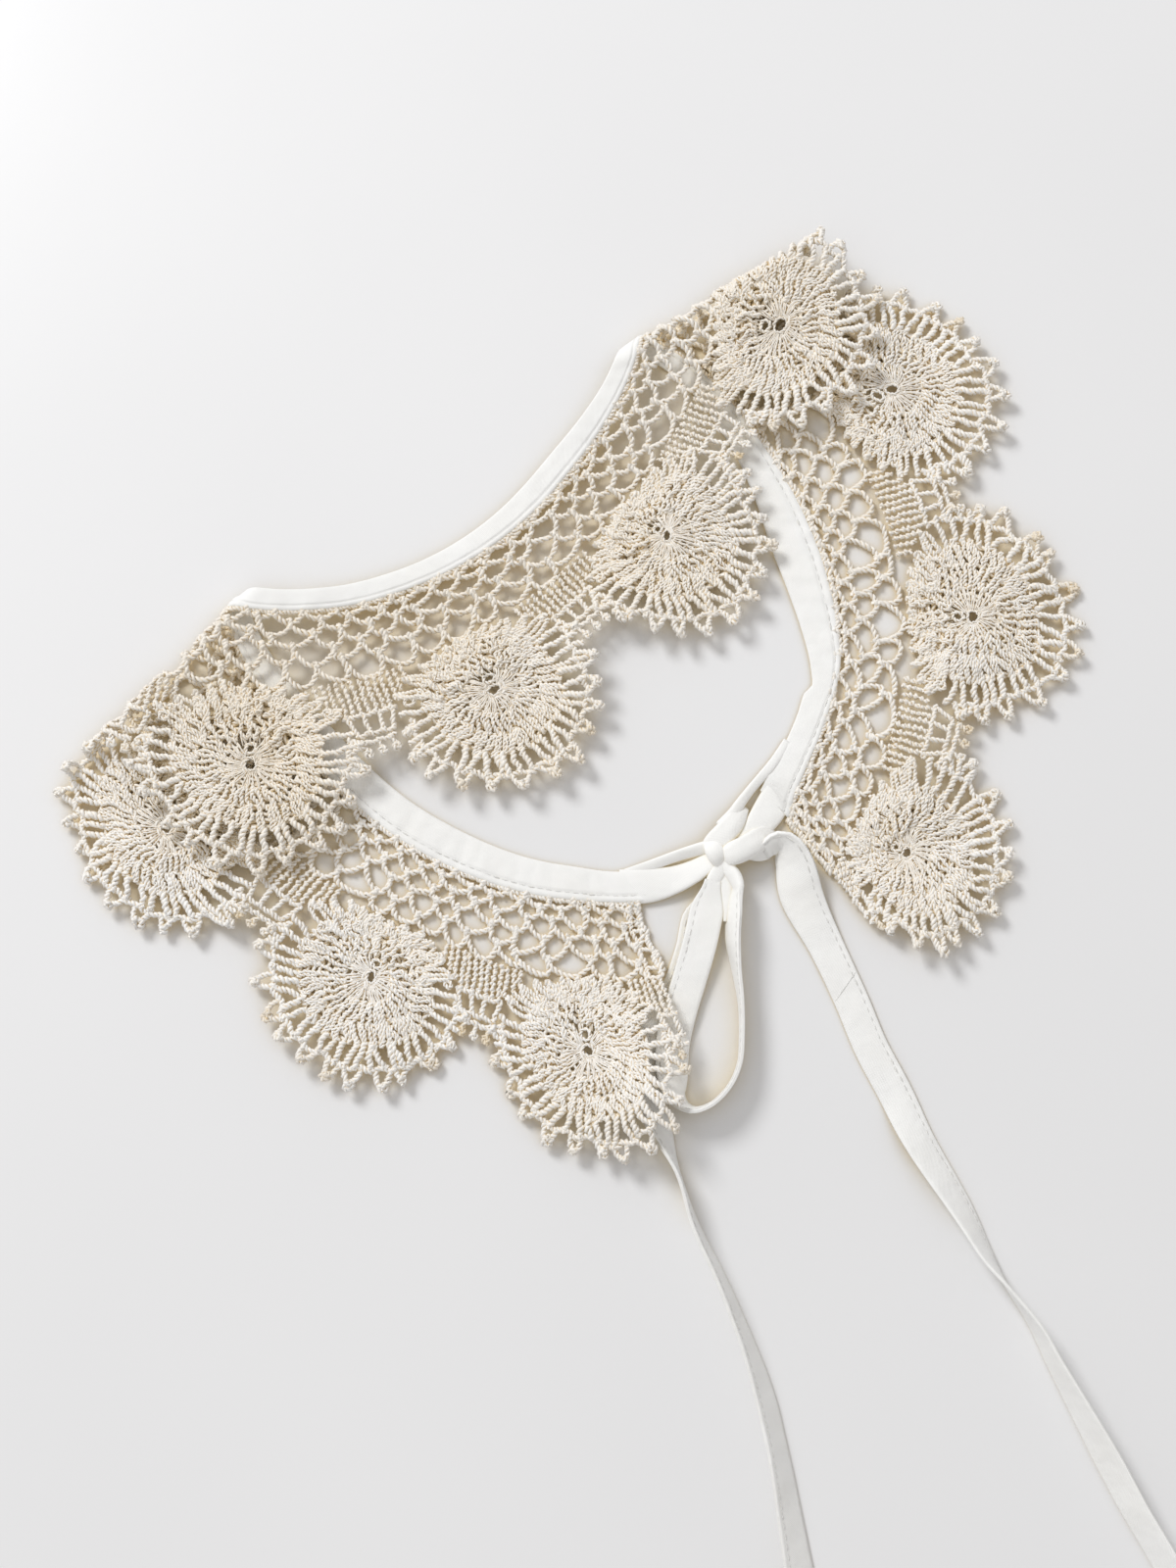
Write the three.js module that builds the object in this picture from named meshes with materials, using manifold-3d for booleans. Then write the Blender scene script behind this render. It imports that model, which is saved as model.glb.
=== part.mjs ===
// A crochet lace collar: ten fan medallions hang under a net yoke, and the neck is bound in bias
// tape that runs on as two ties. It lies on a table with its back half folded over its front half.
import * as THREE from 'three';
import * as BufferGeometryUtils from 'three/addons/utils/BufferGeometryUtils.js';
import Module from 'manifold-3d';

const DEG = Math.PI / 180;

// The lace as it is worked, a flat ring of equal repeats, in millimetres.
const REPEATS = 10;
const NECK_RADIUS = 78.5;
const REPEAT_ANGLE = 31.4 * DEG;
const MEDALLION_DEPTH = 42;
const YOKE_DEPTH = 22;
const LACE_DEPTH = 72;
const LACE_WALL = 1.8;
const TAPE_WIDTH = 9.3;
const TAPE_WALL = 2.2;
const TIE_WALL = 1.0;
const SEAM = 0.3;

// Where the ring lies on the table, and how the folded half settles on what is under it.
const RING_CENTRE = [-12.5, 23.9];
const FOLD_RADIUS = 3.0;
const LACE_MIDDLE = 0.9;
const NECK_MIDDLE = 1.1;
const OVER_TABLE = 2.6;
const OVER_LACE = 4.5;
const SETTLE_LENGTH = 14;

// Each half of the ring, laid open: at counts repeats from the left end, turn is the angle round the
// ring centre in degrees, skew is how many degrees more it is at the scallops' tips, neck and centre
// are how far the neck edge and the medallion centres lie from the ring centre, fan is how much of
// the scallops' reach shows, and tape is how wide the binding shows. The fold is a line at an angle,
// offset from the ring centre.
const LEFT = {
  fold: { angle: 46.2, offset: 53.9 },
  rows: [
    { at: -0.5, turn: 306.0, neck: 92.0, centre: 134.0, fan: 1.00, skew: 0.0, tape: 6.5 },
    { at: -0.25, turn: 298.5, neck: 93.2, centre: 134.0, fan: 1.00, skew: 0.0, tape: 9.5 },
    { at: 0.0, turn: 290.3, neck: 89.5, centre: 131.0, fan: 1.00, skew: 0.0, tape: 8.5 },
    { at: 0.5, turn: 278.1, neck: 84.0, centre: 126.1, fan: 1.02, skew: 0.0, tape: 9.2 },
    { at: 1.5, turn: 248.6, neck: 75.5, centre: 112.8, fan: 1.03, skew: 0.0, tape: 10.0 },
    { at: 2.5, turn: 213.1, neck: 73.0, centre: 117.5, fan: 0.86, skew: 0.0, tape: 9.0 },
    { at: 3.5, turn: 178.0, neck: 84.0, centre: 128.3, fan: 1.00, skew: 0.0, tape: 6.0 },
    { at: 4.5, turn: 146.9, neck: 94.3, centre: 131.2, fan: 1.00, skew: 0.0, tape: 6.0 },
    { at: 5.5, turn: 119.5, neck: 106.0, centre: 139.6, fan: 1.00, skew: 0.0, tape: 6.0 },
  ],
};
const RIGHT = {
  fold: { angle: 31.1, offset: 44.8 },
  rows: [
    { at: 4.5, turn: 131.0, neck: 82.0, centre: 118.5, fan: 1.00, skew: 0.0, tape: 7.0 },
    { at: 5.5, turn: 98.6, neck: 79.4, centre: 112.9, fan: 1.00, skew: 0.0, tape: 7.0 },
    { at: 6.5, turn: 65.3, neck: 84.0, centre: 122.7, fan: 0.93, skew: 0.0, tape: 5.0 },
    { at: 7.5, turn: 30.5, neck: 80.6, centre: 120.6, fan: 1.00, skew: 0.0, tape: 8.0 },
    { at: 8.5, turn: -2.1, neck: 86.0, centre: 123.8, fan: 1.00, skew: 0.0, tape: 10.0 },
    { at: 9.5, turn: -34.2, neck: 91.5, centre: 126.8, fan: 0.97, skew: 0.0, tape: 9.0 },
    { at: 10.0, turn: -40.8, neck: 95.0, centre: 131.0, fan: 1.00, skew: -5.5, tape: 10.5 },
    { at: 10.25, turn: -46.0, neck: 95.3, centre: 134.0, fan: 1.00, skew: -5.5, tape: 11.5 },
  ],
};
const BACK_BLEND = [4.5, 5.5];

// Soft swells that lift the lace off the table: over the bow's loop, where the right end curls, in
// the two wedges that stand up as ridges, and where the folded half bridges the table.
const SWELLS = [
  { at: 0.23, out: 61, height: 9.6, reach: 17 },
  { at: 0.04, out: 35, height: 4.4, reach: 14 },
  { at: 9.9, out: 62, height: 3.5, reach: 16 },
  { at: 8.0, out: 32, height: 2.2, reach: 13 },
  { at: 9.0, out: 34, height: 3.0, reach: 14 },
  { at: 2.0, out: 38, height: 1.6, reach: 12 },
  { at: 5.0, out: 48, height: 1.8, reach: 16 },
];

// The outline of one medallion, round its own centre: the outward fan has picots on its edge, and
// the side towards the neck is a row per corner of the shoulder that meets the wedge and the yoke.
const FAN = { tip: 30.0, valley: 27.6, corners: 12, halfAngle: 80 * DEG };
const SHOULDER = [
  { across: 29.2, outward: 2.0 },
  { across: 27.4, outward: -5.5 },
  { across: 23.2, outward: -12.5 },
  { across: 16.5, outward: -17.4 },
  { across: 8.0, outward: -19.7 },
];

const CREAM = new THREE.Color(0.86, 0.81, 0.71);
const IVORY = new THREE.Color(0.93, 0.92, 0.88);
const lace = new THREE.MeshStandardMaterial({ color: CREAM, roughness: 0.8, metalness: 0 });
const tape = new THREE.MeshStandardMaterial({ color: IVORY, roughness: 0.7, metalness: 0 });

const group = new THREE.Group();

// ---------------------------------------------------------------- reading the tables

// A smooth curve through one column of a table, read at any place along it.
function read(rows, column, at) {
  const last = rows.length - 2;
  let i = 0;
  while (i < last && at > rows[i + 1].at) i += 1;
  const slope = (row) => {
    const before = rows[Math.max(row - 1, 0)];
    const after = rows[Math.min(row + 1, rows.length - 1)];
    return (after[column] - before[column]) / (after.at - before.at);
  };
  const span = rows[i + 1].at - rows[i].at;
  const t = Math.min(Math.max((at - rows[i].at) / span, 0), 1);
  const ease = t * t * (3 - 2 * t);
  const start = span * t * (1 - t) * (1 - t) * slope(i);
  const end = span * t * t * (1 - t) * slope(i + 1);
  return rows[i][column] * (1 - ease) + rows[i + 1][column] * ease + start - end;
}

function smoothStep(low, high, value) {
  return THREE.MathUtils.smoothstep(value, low, high);
}

// ---------------------------------------------------------------- laying the ring down

// A place in the pattern, in the opened half's own plane.
function openPoint(half, at, out) {
  const neck = read(half.rows, 'neck', at);
  const centre = read(half.rows, 'centre', at);
  const skew = (read(half.rows, 'skew', at) * out) / LACE_DEPTH;
  const turn = (read(half.rows, 'turn', at) + skew) * DEG;
  let radius = neck + (out * (centre - neck)) / MEDALLION_DEPTH;
  if (out < 0) radius = neck + (out * read(half.rows, 'tape', at)) / TAPE_WIDTH;
  if (out > MEDALLION_DEPTH) radius = centre + (out - MEDALLION_DEPTH) * read(half.rows, 'fan', at);
  return new THREE.Vector2(radius * Math.cos(turn), radius * Math.sin(turn));
}

function swell(at, out) {
  let lift = 0;
  for (const row of SWELLS) {
    const sideways = (at - row.at) * REPEAT_ANGLE * (NECK_RADIUS + row.out);
    const distance = Math.hypot(sideways, out - row.out) / row.reach;
    lift += row.height * Math.exp(-distance * distance);
  }
  return lift;
}

// How high the folded half lies: it drops from the roll of the fold to what is under it.
function settledHeight(x, y, pastRoll) {
  const rest = OVER_TABLE + (OVER_LACE - OVER_TABLE) * smoothStep(48, 62, Math.hypot(x, y));
  const crest = 2 * FOLD_RADIUS + LACE_MIDDLE;
  return rest + (crest - rest) * Math.exp(-Math.max(pastRoll, 0) / SETTLE_LENGTH);
}

function foldDistance(half, open) {
  const angle = half.fold.angle * DEG;
  return -open.x * Math.sin(angle) + open.y * Math.cos(angle) - half.fold.offset;
}

// Rolls one half over its fold line and gives the middle of the cloth in space.
function foldOver(half, at, out) {
  const open = openPoint(half, at, out);
  const beyond = foldDistance(half, open);
  const low = LACE_MIDDLE + (NECK_MIDDLE - LACE_MIDDLE) * smoothStep(-12, 0, -out);
  if (beyond <= 0) return new THREE.Vector3(open.x, open.y, low);
  const angle = half.fold.angle * DEG;
  const roll = Math.min(beyond / FOLD_RADIUS, Math.PI);
  const pastRoll = beyond - Math.PI * FOLD_RADIUS;
  const moved = FOLD_RADIUS * Math.sin(roll) - Math.max(pastRoll, 0) - beyond;
  const x = open.x - Math.sin(angle) * moved;
  const y = open.y + Math.cos(angle) * moved;
  const high = settledHeight(x, y, pastRoll);
  return new THREE.Vector3(x, y, low + ((high - low) * (1 - Math.cos(roll))) / 2);
}

// A place in the pattern, laid on the table. Across the middle of the back the two halves blend.
function layDown(at, out) {
  const share = smoothStep(BACK_BLEND[0], BACK_BLEND[1], at);
  let point;
  if (share <= 0) point = foldOver(LEFT, at, out);
  else if (share >= 1) point = foldOver(RIGHT, at, out);
  else point = foldOver(LEFT, at, out).lerp(foldOver(RIGHT, at, out), share);
  point.z += swell(at, out);
  point.x += RING_CENTRE[0];
  point.y += RING_CENTRE[1];
  return point;
}

// The face side of the cloth, which turns over with the fold.
function faceSide(at, out) {
  const step = 0.4;
  const turn = step / (REPEAT_ANGLE * (NECK_RADIUS + out));
  const alongNeck = layDown(at + turn, out).sub(layDown(at - turn, out));
  const outward = layDown(at, out + step).sub(layDown(at, out - step));
  return alongNeck.cross(outward).normalize();
}

// ---------------------------------------------------------------- cloth walls

// How far a place lies along the roll of its own half's fold, for cutting the cloth finer there.
function rollPlace([at, out]) {
  const half = at < (BACK_BLEND[0] + BACK_BLEND[1]) / 2 ? LEFT : RIGHT;
  return foldDistance(half, openPoint(half, at, out));
}

function patternLength([atA, outA], [atB, outB]) {
  const radius = NECK_RADIUS + (outA + outB) / 2;
  return Math.hypot((atA - atB) * REPEAT_ANGLE * radius, outA - outB);
}

// Splits each long edge that runs through a fold's roll, so that the roll comes out round.
function refineAtFolds(points, faces) {
  const finest = 3.2;
  const margin = 1.5;
  const rollEnd = Math.PI * FOLD_RADIUS;
  for (let pass = 0; pass < 3; pass += 1) {
    const middles = new Map();
    const split = (a, b) => {
      const places = [rollPlace(points[a]), rollPlace(points[b])];
      const inRoll = Math.max(...places) > -margin && Math.min(...places) < rollEnd + margin;
      if (!inRoll || patternLength(points[a], points[b]) < finest * 1.5) return -1;
      const key = `${Math.min(a, b)}_${Math.max(a, b)}`;
      if (!middles.has(key)) {
        middles.set(key, points.length);
        points.push([(points[a][0] + points[b][0]) / 2, (points[a][1] + points[b][1]) / 2]);
      }
      return middles.get(key);
    };
    const next = [];
    for (const [a, b, c] of faces) next.push(...cutFace([a, b, c], [split(a, b), split(b, c), split(c, a)]));
    faces = next;
  }
  return faces;
}

// Cuts one triangle at the middles of its split edges, and -1 marks an edge that stays whole.
function cutFace([a, b, c], [ab, bc, ca]) {
  const count = [ab, bc, ca].filter((middle) => middle >= 0).length;
  if (count === 0) return [[a, b, c]];
  if (count === 3) return [[a, ab, ca], [ab, b, bc], [ca, bc, c], [ab, bc, ca]];
  if (ab < 0 && (count === 2 || bc >= 0)) return cutFace([b, c, a], [bc, ca, ab]);
  if (count === 1 && ab < 0) return cutFace([c, a, b], [ca, ab, bc]);
  if (count === 1) return [[a, ab, c], [ab, b, c]];
  if (bc >= 0) return [[ab, b, bc], [a, ab, bc], [a, bc, c]];
  return [[a, ab, ca], [ab, b, c], [ab, c, ca]];
}

// A closed wall on a patch of the pattern: a face side, a back and a rim round the boundary. Each
// piece of rim is cut along the diagonal that its neighbour across the seam has.
function clothWall(name, material, points, faces, wall) {
  faces = refineAtFolds(points, faces);
  const front = [];
  const back = [];
  for (const [at, out] of points) {
    const middle = layDown(at, out);
    const side = faceSide(at, out).multiplyScalar(wall / 2);
    front.push(middle.clone().add(side));
    back.push(middle.clone().sub(side));
  }
  const corners = [...front, ...back];
  const shift = points.length;
  const triangles = [];
  const edges = new Map();
  for (const [a, b, c] of faces) {
    triangles.push([a, b, c], [a + shift, c + shift, b + shift]);
    for (const [from, to] of [[a, b], [b, c], [c, a]]) {
      if (!edges.delete(`${to}_${from}`)) edges.set(`${from}_${to}`, [from, to]);
    }
  }
  for (const [from, to] of edges.values()) {
    const forward = points[from][0] - points[to][0] || points[from][1] - points[to][1];
    if (forward < 0) triangles.push([from, from + shift, to + shift], [from, to + shift, to]);
    else triangles.push([from, from + shift, to], [to, from + shift, to + shift]);
  }
  addMesh(name, material, corners, triangles);
}

function addMesh(name, material, corners, triangles) {
  const geometry = new THREE.BufferGeometry();
  geometry.setFromPoints(corners);
  geometry.setIndex(triangles.flat());
  const mesh = new THREE.Mesh(geometry, material);
  mesh.name = name;
  group.add(mesh);
}

// Joins rows of points, all with as many points, into triangles.
function stitchRows(rows) {
  const points = rows.flat();
  const width = rows[0].length;
  const faces = [];
  for (let row = 0; row + 1 < rows.length; row += 1) {
    for (let i = 0; i + 1 < width; i += 1) {
      const a = row * width + i;
      faces.push([a, a + 1, a + width + 1], [a, a + width + 1, a + width]);
    }
  }
  return { points, faces };
}

function spread(from, to, count) {
  return Array.from({ length: count + 1 }, (_, i) => from + ((to - from) * i) / count);
}

// ---------------------------------------------------------------- the net yoke and the binding

// A band of the ring between two places along the neck and two distances from its edge.
function band(name, material, [from, to], [near, far], rows, wall) {
  const gap = SEAM / 2 / (REPEAT_ANGLE * NECK_RADIUS);
  const stations = spread(from + gap, to - gap, Math.round((to - from) * 8));
  const depths = spread(near + SEAM / 2, far - SEAM / 2, rows);
  const grid = stitchRows(depths.map((out) => stations.map((at) => [at, out])));
  clothWall(name, material, grid.points, grid.faces, wall);
}

const YOKE = [
  { name: 'yoke_front_left', span: [0, 2.5] },
  { name: 'yoke_left_fold', span: [2.5, 4] },
  { name: 'yoke_back', span: [4, 6] },
  { name: 'yoke_right_fold', span: [6, 7.75] },
  { name: 'yoke_front_right', span: [7.75, REPEATS] },
];
const BINDING = [
  { name: 'binding_front_left', span: [-0.38, 2.5] },
  { name: 'binding_left_fold', span: [2.5, 4] },
  { name: 'binding_back', span: [4, 6] },
  { name: 'binding_right_fold', span: [6, 7.75] },
  { name: 'binding_front_right', span: [7.75, 10.2] },
];
for (const { name, span } of YOKE) band(name, lace, span, [0, YOKE_DEPTH], 3, LACE_WALL);
for (const { name, span } of BINDING) band(name, tape, span, [-TAPE_WIDTH, 0], 2, TAPE_WALL);

// ---------------------------------------------------------------- medallions and wedges

// A place near a medallion, measured across and outward from its centre, in pattern terms.
function nearMedallion(index, across, outward) {
  const radius = NECK_RADIUS + MEDALLION_DEPTH;
  const at = index + 0.5 + Math.atan2(across, radius + outward) / REPEAT_ANGLE;
  return [at, Math.hypot(across, radius + outward) - NECK_RADIUS];
}

// One medallion's outline, round from the outermost picot.
function medallionOutline() {
  const right = [];
  for (let i = 0; i <= FAN.corners; i += 1) {
    const angle = (FAN.halfAngle * i) / FAN.corners;
    const radius = i % 2 === 0 ? FAN.tip : FAN.valley;
    right.push([radius * Math.sin(angle), radius * Math.cos(angle)]);
  }
  for (const { across, outward } of SHOULDER) right.push([across, outward]);
  const left = right.slice(1).reverse().map(([across, outward]) => [-across, outward]);
  return [...right, ...left];
}

function medallion(index) {
  const outline = medallionOutline();
  const points = [nearMedallion(index, 0, 0)];
  const rings = [0.5, 1];
  for (const ring of rings) {
    for (const [across, outward] of outline) {
      points.push(nearMedallion(index, across * ring, outward * ring));
    }
  }
  const count = outline.length;
  const faces = [];
  for (let i = 0; i < count; i += 1) {
    const next = (i + 1) % count;
    const [a, b, c, d] = [1 + i, 1 + next, 1 + count + i, 1 + count + next];
    faces.push([0, b, a], [a, b, d], [a, d, c]);
  }
  const number = String(index + 1).padStart(2, '0');
  clothWall(`medallion_${number}`, lace, points, faces, LACE_WALL);
}

// The half width of a wedge, in repeats, at each corner of the shoulder beside it.
function wedgeSide() {
  return SHOULDER.map(({ across, outward }) => {
    const [at, out] = nearMedallion(0, across + 1.4 * SEAM, outward);
    return { half: 1 - at, out: Math.max(out, YOKE_DEPTH + SEAM / 2) };
  }).reverse();
}

// A wedge of linen stitch between two medallions, or half of one at an end of the lace.
function wedge(name, at, leftShare, rightShare) {
  const rows = wedgeSide().map(({ half, out }) => {
    const columns = spread(at - half * leftShare, at + half * rightShare, 2 * (leftShare + rightShare));
    return columns.map((place) => [place, out]);
  });
  const grid = stitchRows(rows);
  clothWall(name, lace, grid.points, grid.faces, LACE_WALL);
}

for (let index = 0; index < REPEATS; index += 1) medallion(index);
for (let index = 1; index < REPEATS; index += 1) {
  wedge(`wedge_${String(index).padStart(2, '0')}`, index, 1, 1);
}
wedge('end_band_left', 0, 0, 1);
wedge('end_band_right', REPEATS, 1, 0);

// ---------------------------------------------------------------- the bow

// Tape lies along rows of points from the ring centre: above is how far its lower edge clears the
// table, and lean turns it on edge, its right side up.
const TIE_LEFT = [
  { x: 51.7, y: -82.2, above: 0.4, lean: 0 },
  { x: 48.3, y: -88.0, above: 0.1, lean: 0 },
  { x: 46.0, y: -98.0, above: 0.1, lean: 0 },
  { x: 41.5, y: -109.5, above: 0.1, lean: 0 },
  { x: 35.0, y: -118.0, above: 0.1, lean: 0 },
  { x: 32.0, y: -127.0, above: 0.1, lean: 8 },
  { x: 33.2, y: -136.5, above: 0.1, lean: 22 },
  { x: 37.4, y: -146.1, above: 0.1, lean: 44 },
  { x: 41.6, y: -157.0, above: 0.1, lean: 76 },
  { x: 46.3, y: -171.0, above: 0.1, lean: 66 },
  { x: 52.7, y: -184.4, above: 0.1, lean: 66 },
  { x: 59.7, y: -201.6, above: 0.1, lean: 63 },
  { x: 64.0, y: -214.8, above: 0.1, lean: 55 },
  { x: 67.4, y: -229.8, above: 0.1, lean: 53 },
  { x: 70.6, y: -248.3, above: 0.1, lean: 43 },
  { x: 72.1, y: -257.3, above: 0.1, lean: 36 },
  { x: 74.6, y: -272.0, above: 0.1, lean: 18 },
  { x: 78.0, y: -287.0, above: 0.2, lean: 0 },
];
const TIE_RIGHT = [
  { x: 65.4, y: -71.2, above: 1.4, lean: -30 },
  { x: 67.8, y: -69.2, above: 1.3, lean: -40 },
  { x: 70.6, y: -68.8, above: 1.0, lean: -48 },
  { x: 73.4, y: -73.0, above: 1.1, lean: -35 },
  { x: 76.0, y: -83.0, above: 0.7, lean: -12 },
  { x: 82.9, y: -97.2, above: 0.3, lean: 0 },
  { x: 89.1, y: -111.1, above: 0.2, lean: 0 },
  { x: 94.1, y: -123.7, above: 0.2, lean: 0 },
  { x: 100.5, y: -136.3, above: 0.2, lean: 0 },
  { x: 106.1, y: -148.5, above: 0.1, lean: 20 },
  { x: 116.9, y: -166.8, above: 0.1, lean: 44 },
  { x: 123.5, y: -179.4, above: 0.1, lean: 65 },
  { x: 128.0, y: -186.3, above: 0.1, lean: 84 },
  { x: 135.6, y: -197.4, above: 0.1, lean: 100 },
  { x: 139.7, y: -205.6, above: 0.1, lean: 106 },
  { x: 147.0, y: -219.3, above: 0.1, lean: 118 },
  { x: 153.4, y: -231.4, above: 0.1, lean: 128 },
  { x: 159.7, y: -243.6, above: 0.1, lean: 128 },
  { x: 165.4, y: -253.5, above: 0.1, lean: 128 },
  { x: 170.5, y: -263.0, above: 0.1, lean: 128 },
];
const BOW_LOOP = [
  { x: 51.8, y: -78.9, above: 3.3, lean: 4 },
  { x: 50.6, y: -84.5, above: 3.4, lean: 0 },
  { x: 48.1, y: -95.8, above: 2.9, lean: 0 },
  { x: 45.1, y: -106.0, above: 1.7, lean: 0 },
  { x: 42.6, y: -114.0, above: 1.4, lean: 2 },
  { x: 40.6, y: -123.0, above: 0.5, lean: 6 },
  { x: 40.4, y: -131.0, above: 0.1, lean: 20 },
  { x: 41.6, y: -137.4, above: 0.1, lean: 44 },
  { x: 45.5, y: -140.4, above: 0.1, lean: 66 },
  { x: 50.5, y: -139.2, above: 0.3, lean: 76 },
  { x: 55.6, y: -134.2, above: 0.2, lean: 80 },
  { x: 58.3, y: -128.3, above: 0.2, lean: 80 },
  { x: 59.0, y: -121.7, above: 0.2, lean: 80 },
  { x: 58.8, y: -111.0, above: 0.3, lean: 80 },
  { x: 57.7, y: -102.8, above: 0.5, lean: 74 },
  { x: 56.8, y: -93.8, above: 1.1, lean: 60 },
  { x: 57.3, y: -86.0, above: 1.4, lean: 60 },
  { x: 58.5, y: -80.4, above: 1.2, lean: 68 },
];

// A flat tape along a smooth path, turned about it as the rows say.
function ribbon(name, rows, steps) {
  const places = rows.map(({ x, y, above }) => {
    return new THREE.Vector3(x + RING_CENTRE[0], y + RING_CENTRE[1], above);
  });
  const path = new THREE.CatmullRomCurve3(places, false, 'centripetal');
  const leans = rows.map(({ lean }, at) => ({ at, lean }));
  const half = TAPE_WIDTH / 2;
  const edge = TIE_WALL / 2;
  const face = half - edge;
  const section = [[half, 0], [face, edge], [-face, edge], [-half, 0], [-face, -edge], [face, -edge]];
  const corners = [];
  const triangles = [];
  for (let step = 0; step <= steps; step += 1) {
    const along = step / steps;
    const middle = path.getPoint(along);
    const forward = path.getTangent(along);
    const level = new THREE.Vector3(forward.y, -forward.x, 0).normalize();
    const lean = read(leans, 'lean', along * (rows.length - 1)) * DEG;
    middle.z += half * Math.abs(Math.sin(lean)) + edge * Math.abs(Math.cos(lean));
    const across = level.applyAxisAngle(forward, -lean);
    const up = across.clone().cross(forward);
    for (const [side, rise] of section) {
      corners.push(middle.clone().addScaledVector(across, side).addScaledVector(up, rise));
    }
  }
  const count = section.length;
  for (let step = 0; step < steps; step += 1) {
    for (let i = 0; i < count; i += 1) {
      const a = step * count + i;
      const b = step * count + ((i + 1) % count);
      triangles.push([a, b + count, b], [a, a + count, b + count]);
    }
  }
  const end = steps * count;
  for (let i = 1; i + 1 < count; i += 1) {
    triangles.push([0, i, i + 1], [end, end + i + 1, end + i]);
  }
  addMesh(name, tape, corners, triangles);
}

ribbon('tie_left', TIE_LEFT, 42);
ribbon('tie_right', TIE_RIGHT, 46);
ribbon('bow_loop', BOW_LOOP, 40);

// ---------------------------------------------------------------- the knot

// Each wrap of the knot is an egg shape, by its middle from the ring centre, its half sizes and turn.
const KNOT_WRAPS = [
  { x: 54.6, y: -66.4, z: 4.6, long: 5.6, wide: 3.6, tall: 3.6, turn: 50 },
  { x: 53.0, y: -71.3, z: 4.2, long: 3.6, wide: 3.4, tall: 3.6, turn: 110 },
  { x: 58.8, y: -72.4, z: 4.6, long: 5.6, wide: 3.9, tall: 4.0, turn: 20 },
];

async function knot() {
  const wasm = await Module();
  wasm.setup();
  let joined = null;
  for (const { x, y, z, long, wide, tall, turn } of KNOT_WRAPS) {
    const egg = new THREE.SphereGeometry(1, 14, 8);
    egg.scale(long, wide, tall);
    egg.rotateZ(turn * DEG);
    egg.translate(x + RING_CENTRE[0], y + RING_CENTRE[1], z);
    egg.deleteAttribute('normal');
    egg.deleteAttribute('uv');
    const merged = BufferGeometryUtils.mergeVertices(egg);
    const solid = new wasm.Manifold(new wasm.Mesh({
      numProp: 3,
      vertProperties: new Float32Array(merged.attributes.position.array),
      triVerts: new Uint32Array(merged.index.array),
    }));
    joined = joined ? joined.add(solid) : solid;
  }
  const result = joined.getMesh();
  const geometry = new THREE.BufferGeometry();
  geometry.setAttribute('position', new THREE.BufferAttribute(result.vertProperties, 3));
  geometry.setIndex(new THREE.BufferAttribute(result.triVerts, 1));
  const mesh = new THREE.Mesh(geometry, tape);
  mesh.name = 'knot';
  group.add(mesh);
}

await knot();

export default group;
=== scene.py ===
# %% [markdown]
# # A crochet lace collar, folded flat on a table
#
# The collar is worked in thick cotton thread: ten round fan medallions hang under a net yoke, with
# a wedge of close stitches between each two. The neck edge is bound in cotton bias tape, and the
# tape runs on as two ties that are done up in a half bow. The collar lies on a table, its back half
# folded over its front half.
#
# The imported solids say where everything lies. This lesson lays real crochet on them: each stitch
# is a short path on a flat chart, and one Geometry Nodes tree twists it out of two plies.

# %% Load the frame
import math

import bmesh
import bpy
import numpy as np
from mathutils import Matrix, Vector


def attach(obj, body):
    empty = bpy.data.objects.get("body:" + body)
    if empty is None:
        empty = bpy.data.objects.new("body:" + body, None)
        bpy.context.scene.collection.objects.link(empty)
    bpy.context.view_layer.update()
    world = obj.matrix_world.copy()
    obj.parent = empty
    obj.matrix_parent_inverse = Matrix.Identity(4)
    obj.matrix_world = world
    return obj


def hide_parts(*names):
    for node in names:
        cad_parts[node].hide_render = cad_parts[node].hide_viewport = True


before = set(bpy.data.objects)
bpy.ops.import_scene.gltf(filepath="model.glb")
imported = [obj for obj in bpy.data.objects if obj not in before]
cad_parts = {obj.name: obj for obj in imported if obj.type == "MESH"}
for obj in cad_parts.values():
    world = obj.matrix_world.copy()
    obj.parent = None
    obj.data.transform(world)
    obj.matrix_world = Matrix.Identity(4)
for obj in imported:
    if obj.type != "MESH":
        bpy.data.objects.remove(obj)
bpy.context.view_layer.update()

MM = 0.001

# %% [markdown]
# ## The camera
#
# The collar is looked at from almost straight above, from a chair at the table. A 52 mm lens at
# 62 cm has little perspective, so the near medallions are barely larger than the far ones. The
# camera comes first, because the ties are long and have to end about where its view does.

# %% Camera
VIEW_TARGET = Vector((5.3, -27.6, 0.0)) * MM
VIEW_DISTANCE = 624 * MM
VIEW_ELEVATION = math.radians(80)
LENS, SENSOR_WIDTH = 52, 36


def put_in_scene(name, data):
    """A new object in the scene, made of the data given."""
    thing = bpy.data.objects.new(name, data)
    bpy.context.scene.collection.objects.link(thing)
    return thing


back = Vector((0, -math.cos(VIEW_ELEVATION), math.sin(VIEW_ELEVATION)))
camera = put_in_scene("camera", bpy.data.cameras.new("camera"))
camera.data.lens = LENS
camera.data.sensor_width = SENSOR_WIDTH
camera.location = VIEW_TARGET + back * VIEW_DISTANCE
camera.rotation_mode = "QUATERNION"
camera.rotation_quaternion = (-back).to_track_quat("-Z", "Y")
bpy.context.scene.camera = camera
print("camera at", [round(x / MM) for x in camera.location], "mm")

# %% [markdown]
# ## How the cloth lies
#
# A short table holds each half of the ring as it would lie if it weren't folded: for a count of
# repeats from the left end, the angle round the ring's centre and how far the neck edge and the
# medallions lie from it. A smooth curve through each column gives every place between. The same
# rule made the solids, so the lace lands exactly where they are.

# %% Reading a table smoothly
COLUMNS = ("at", "turn", "neck", "centre", "fan", "skew", "tape")


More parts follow.
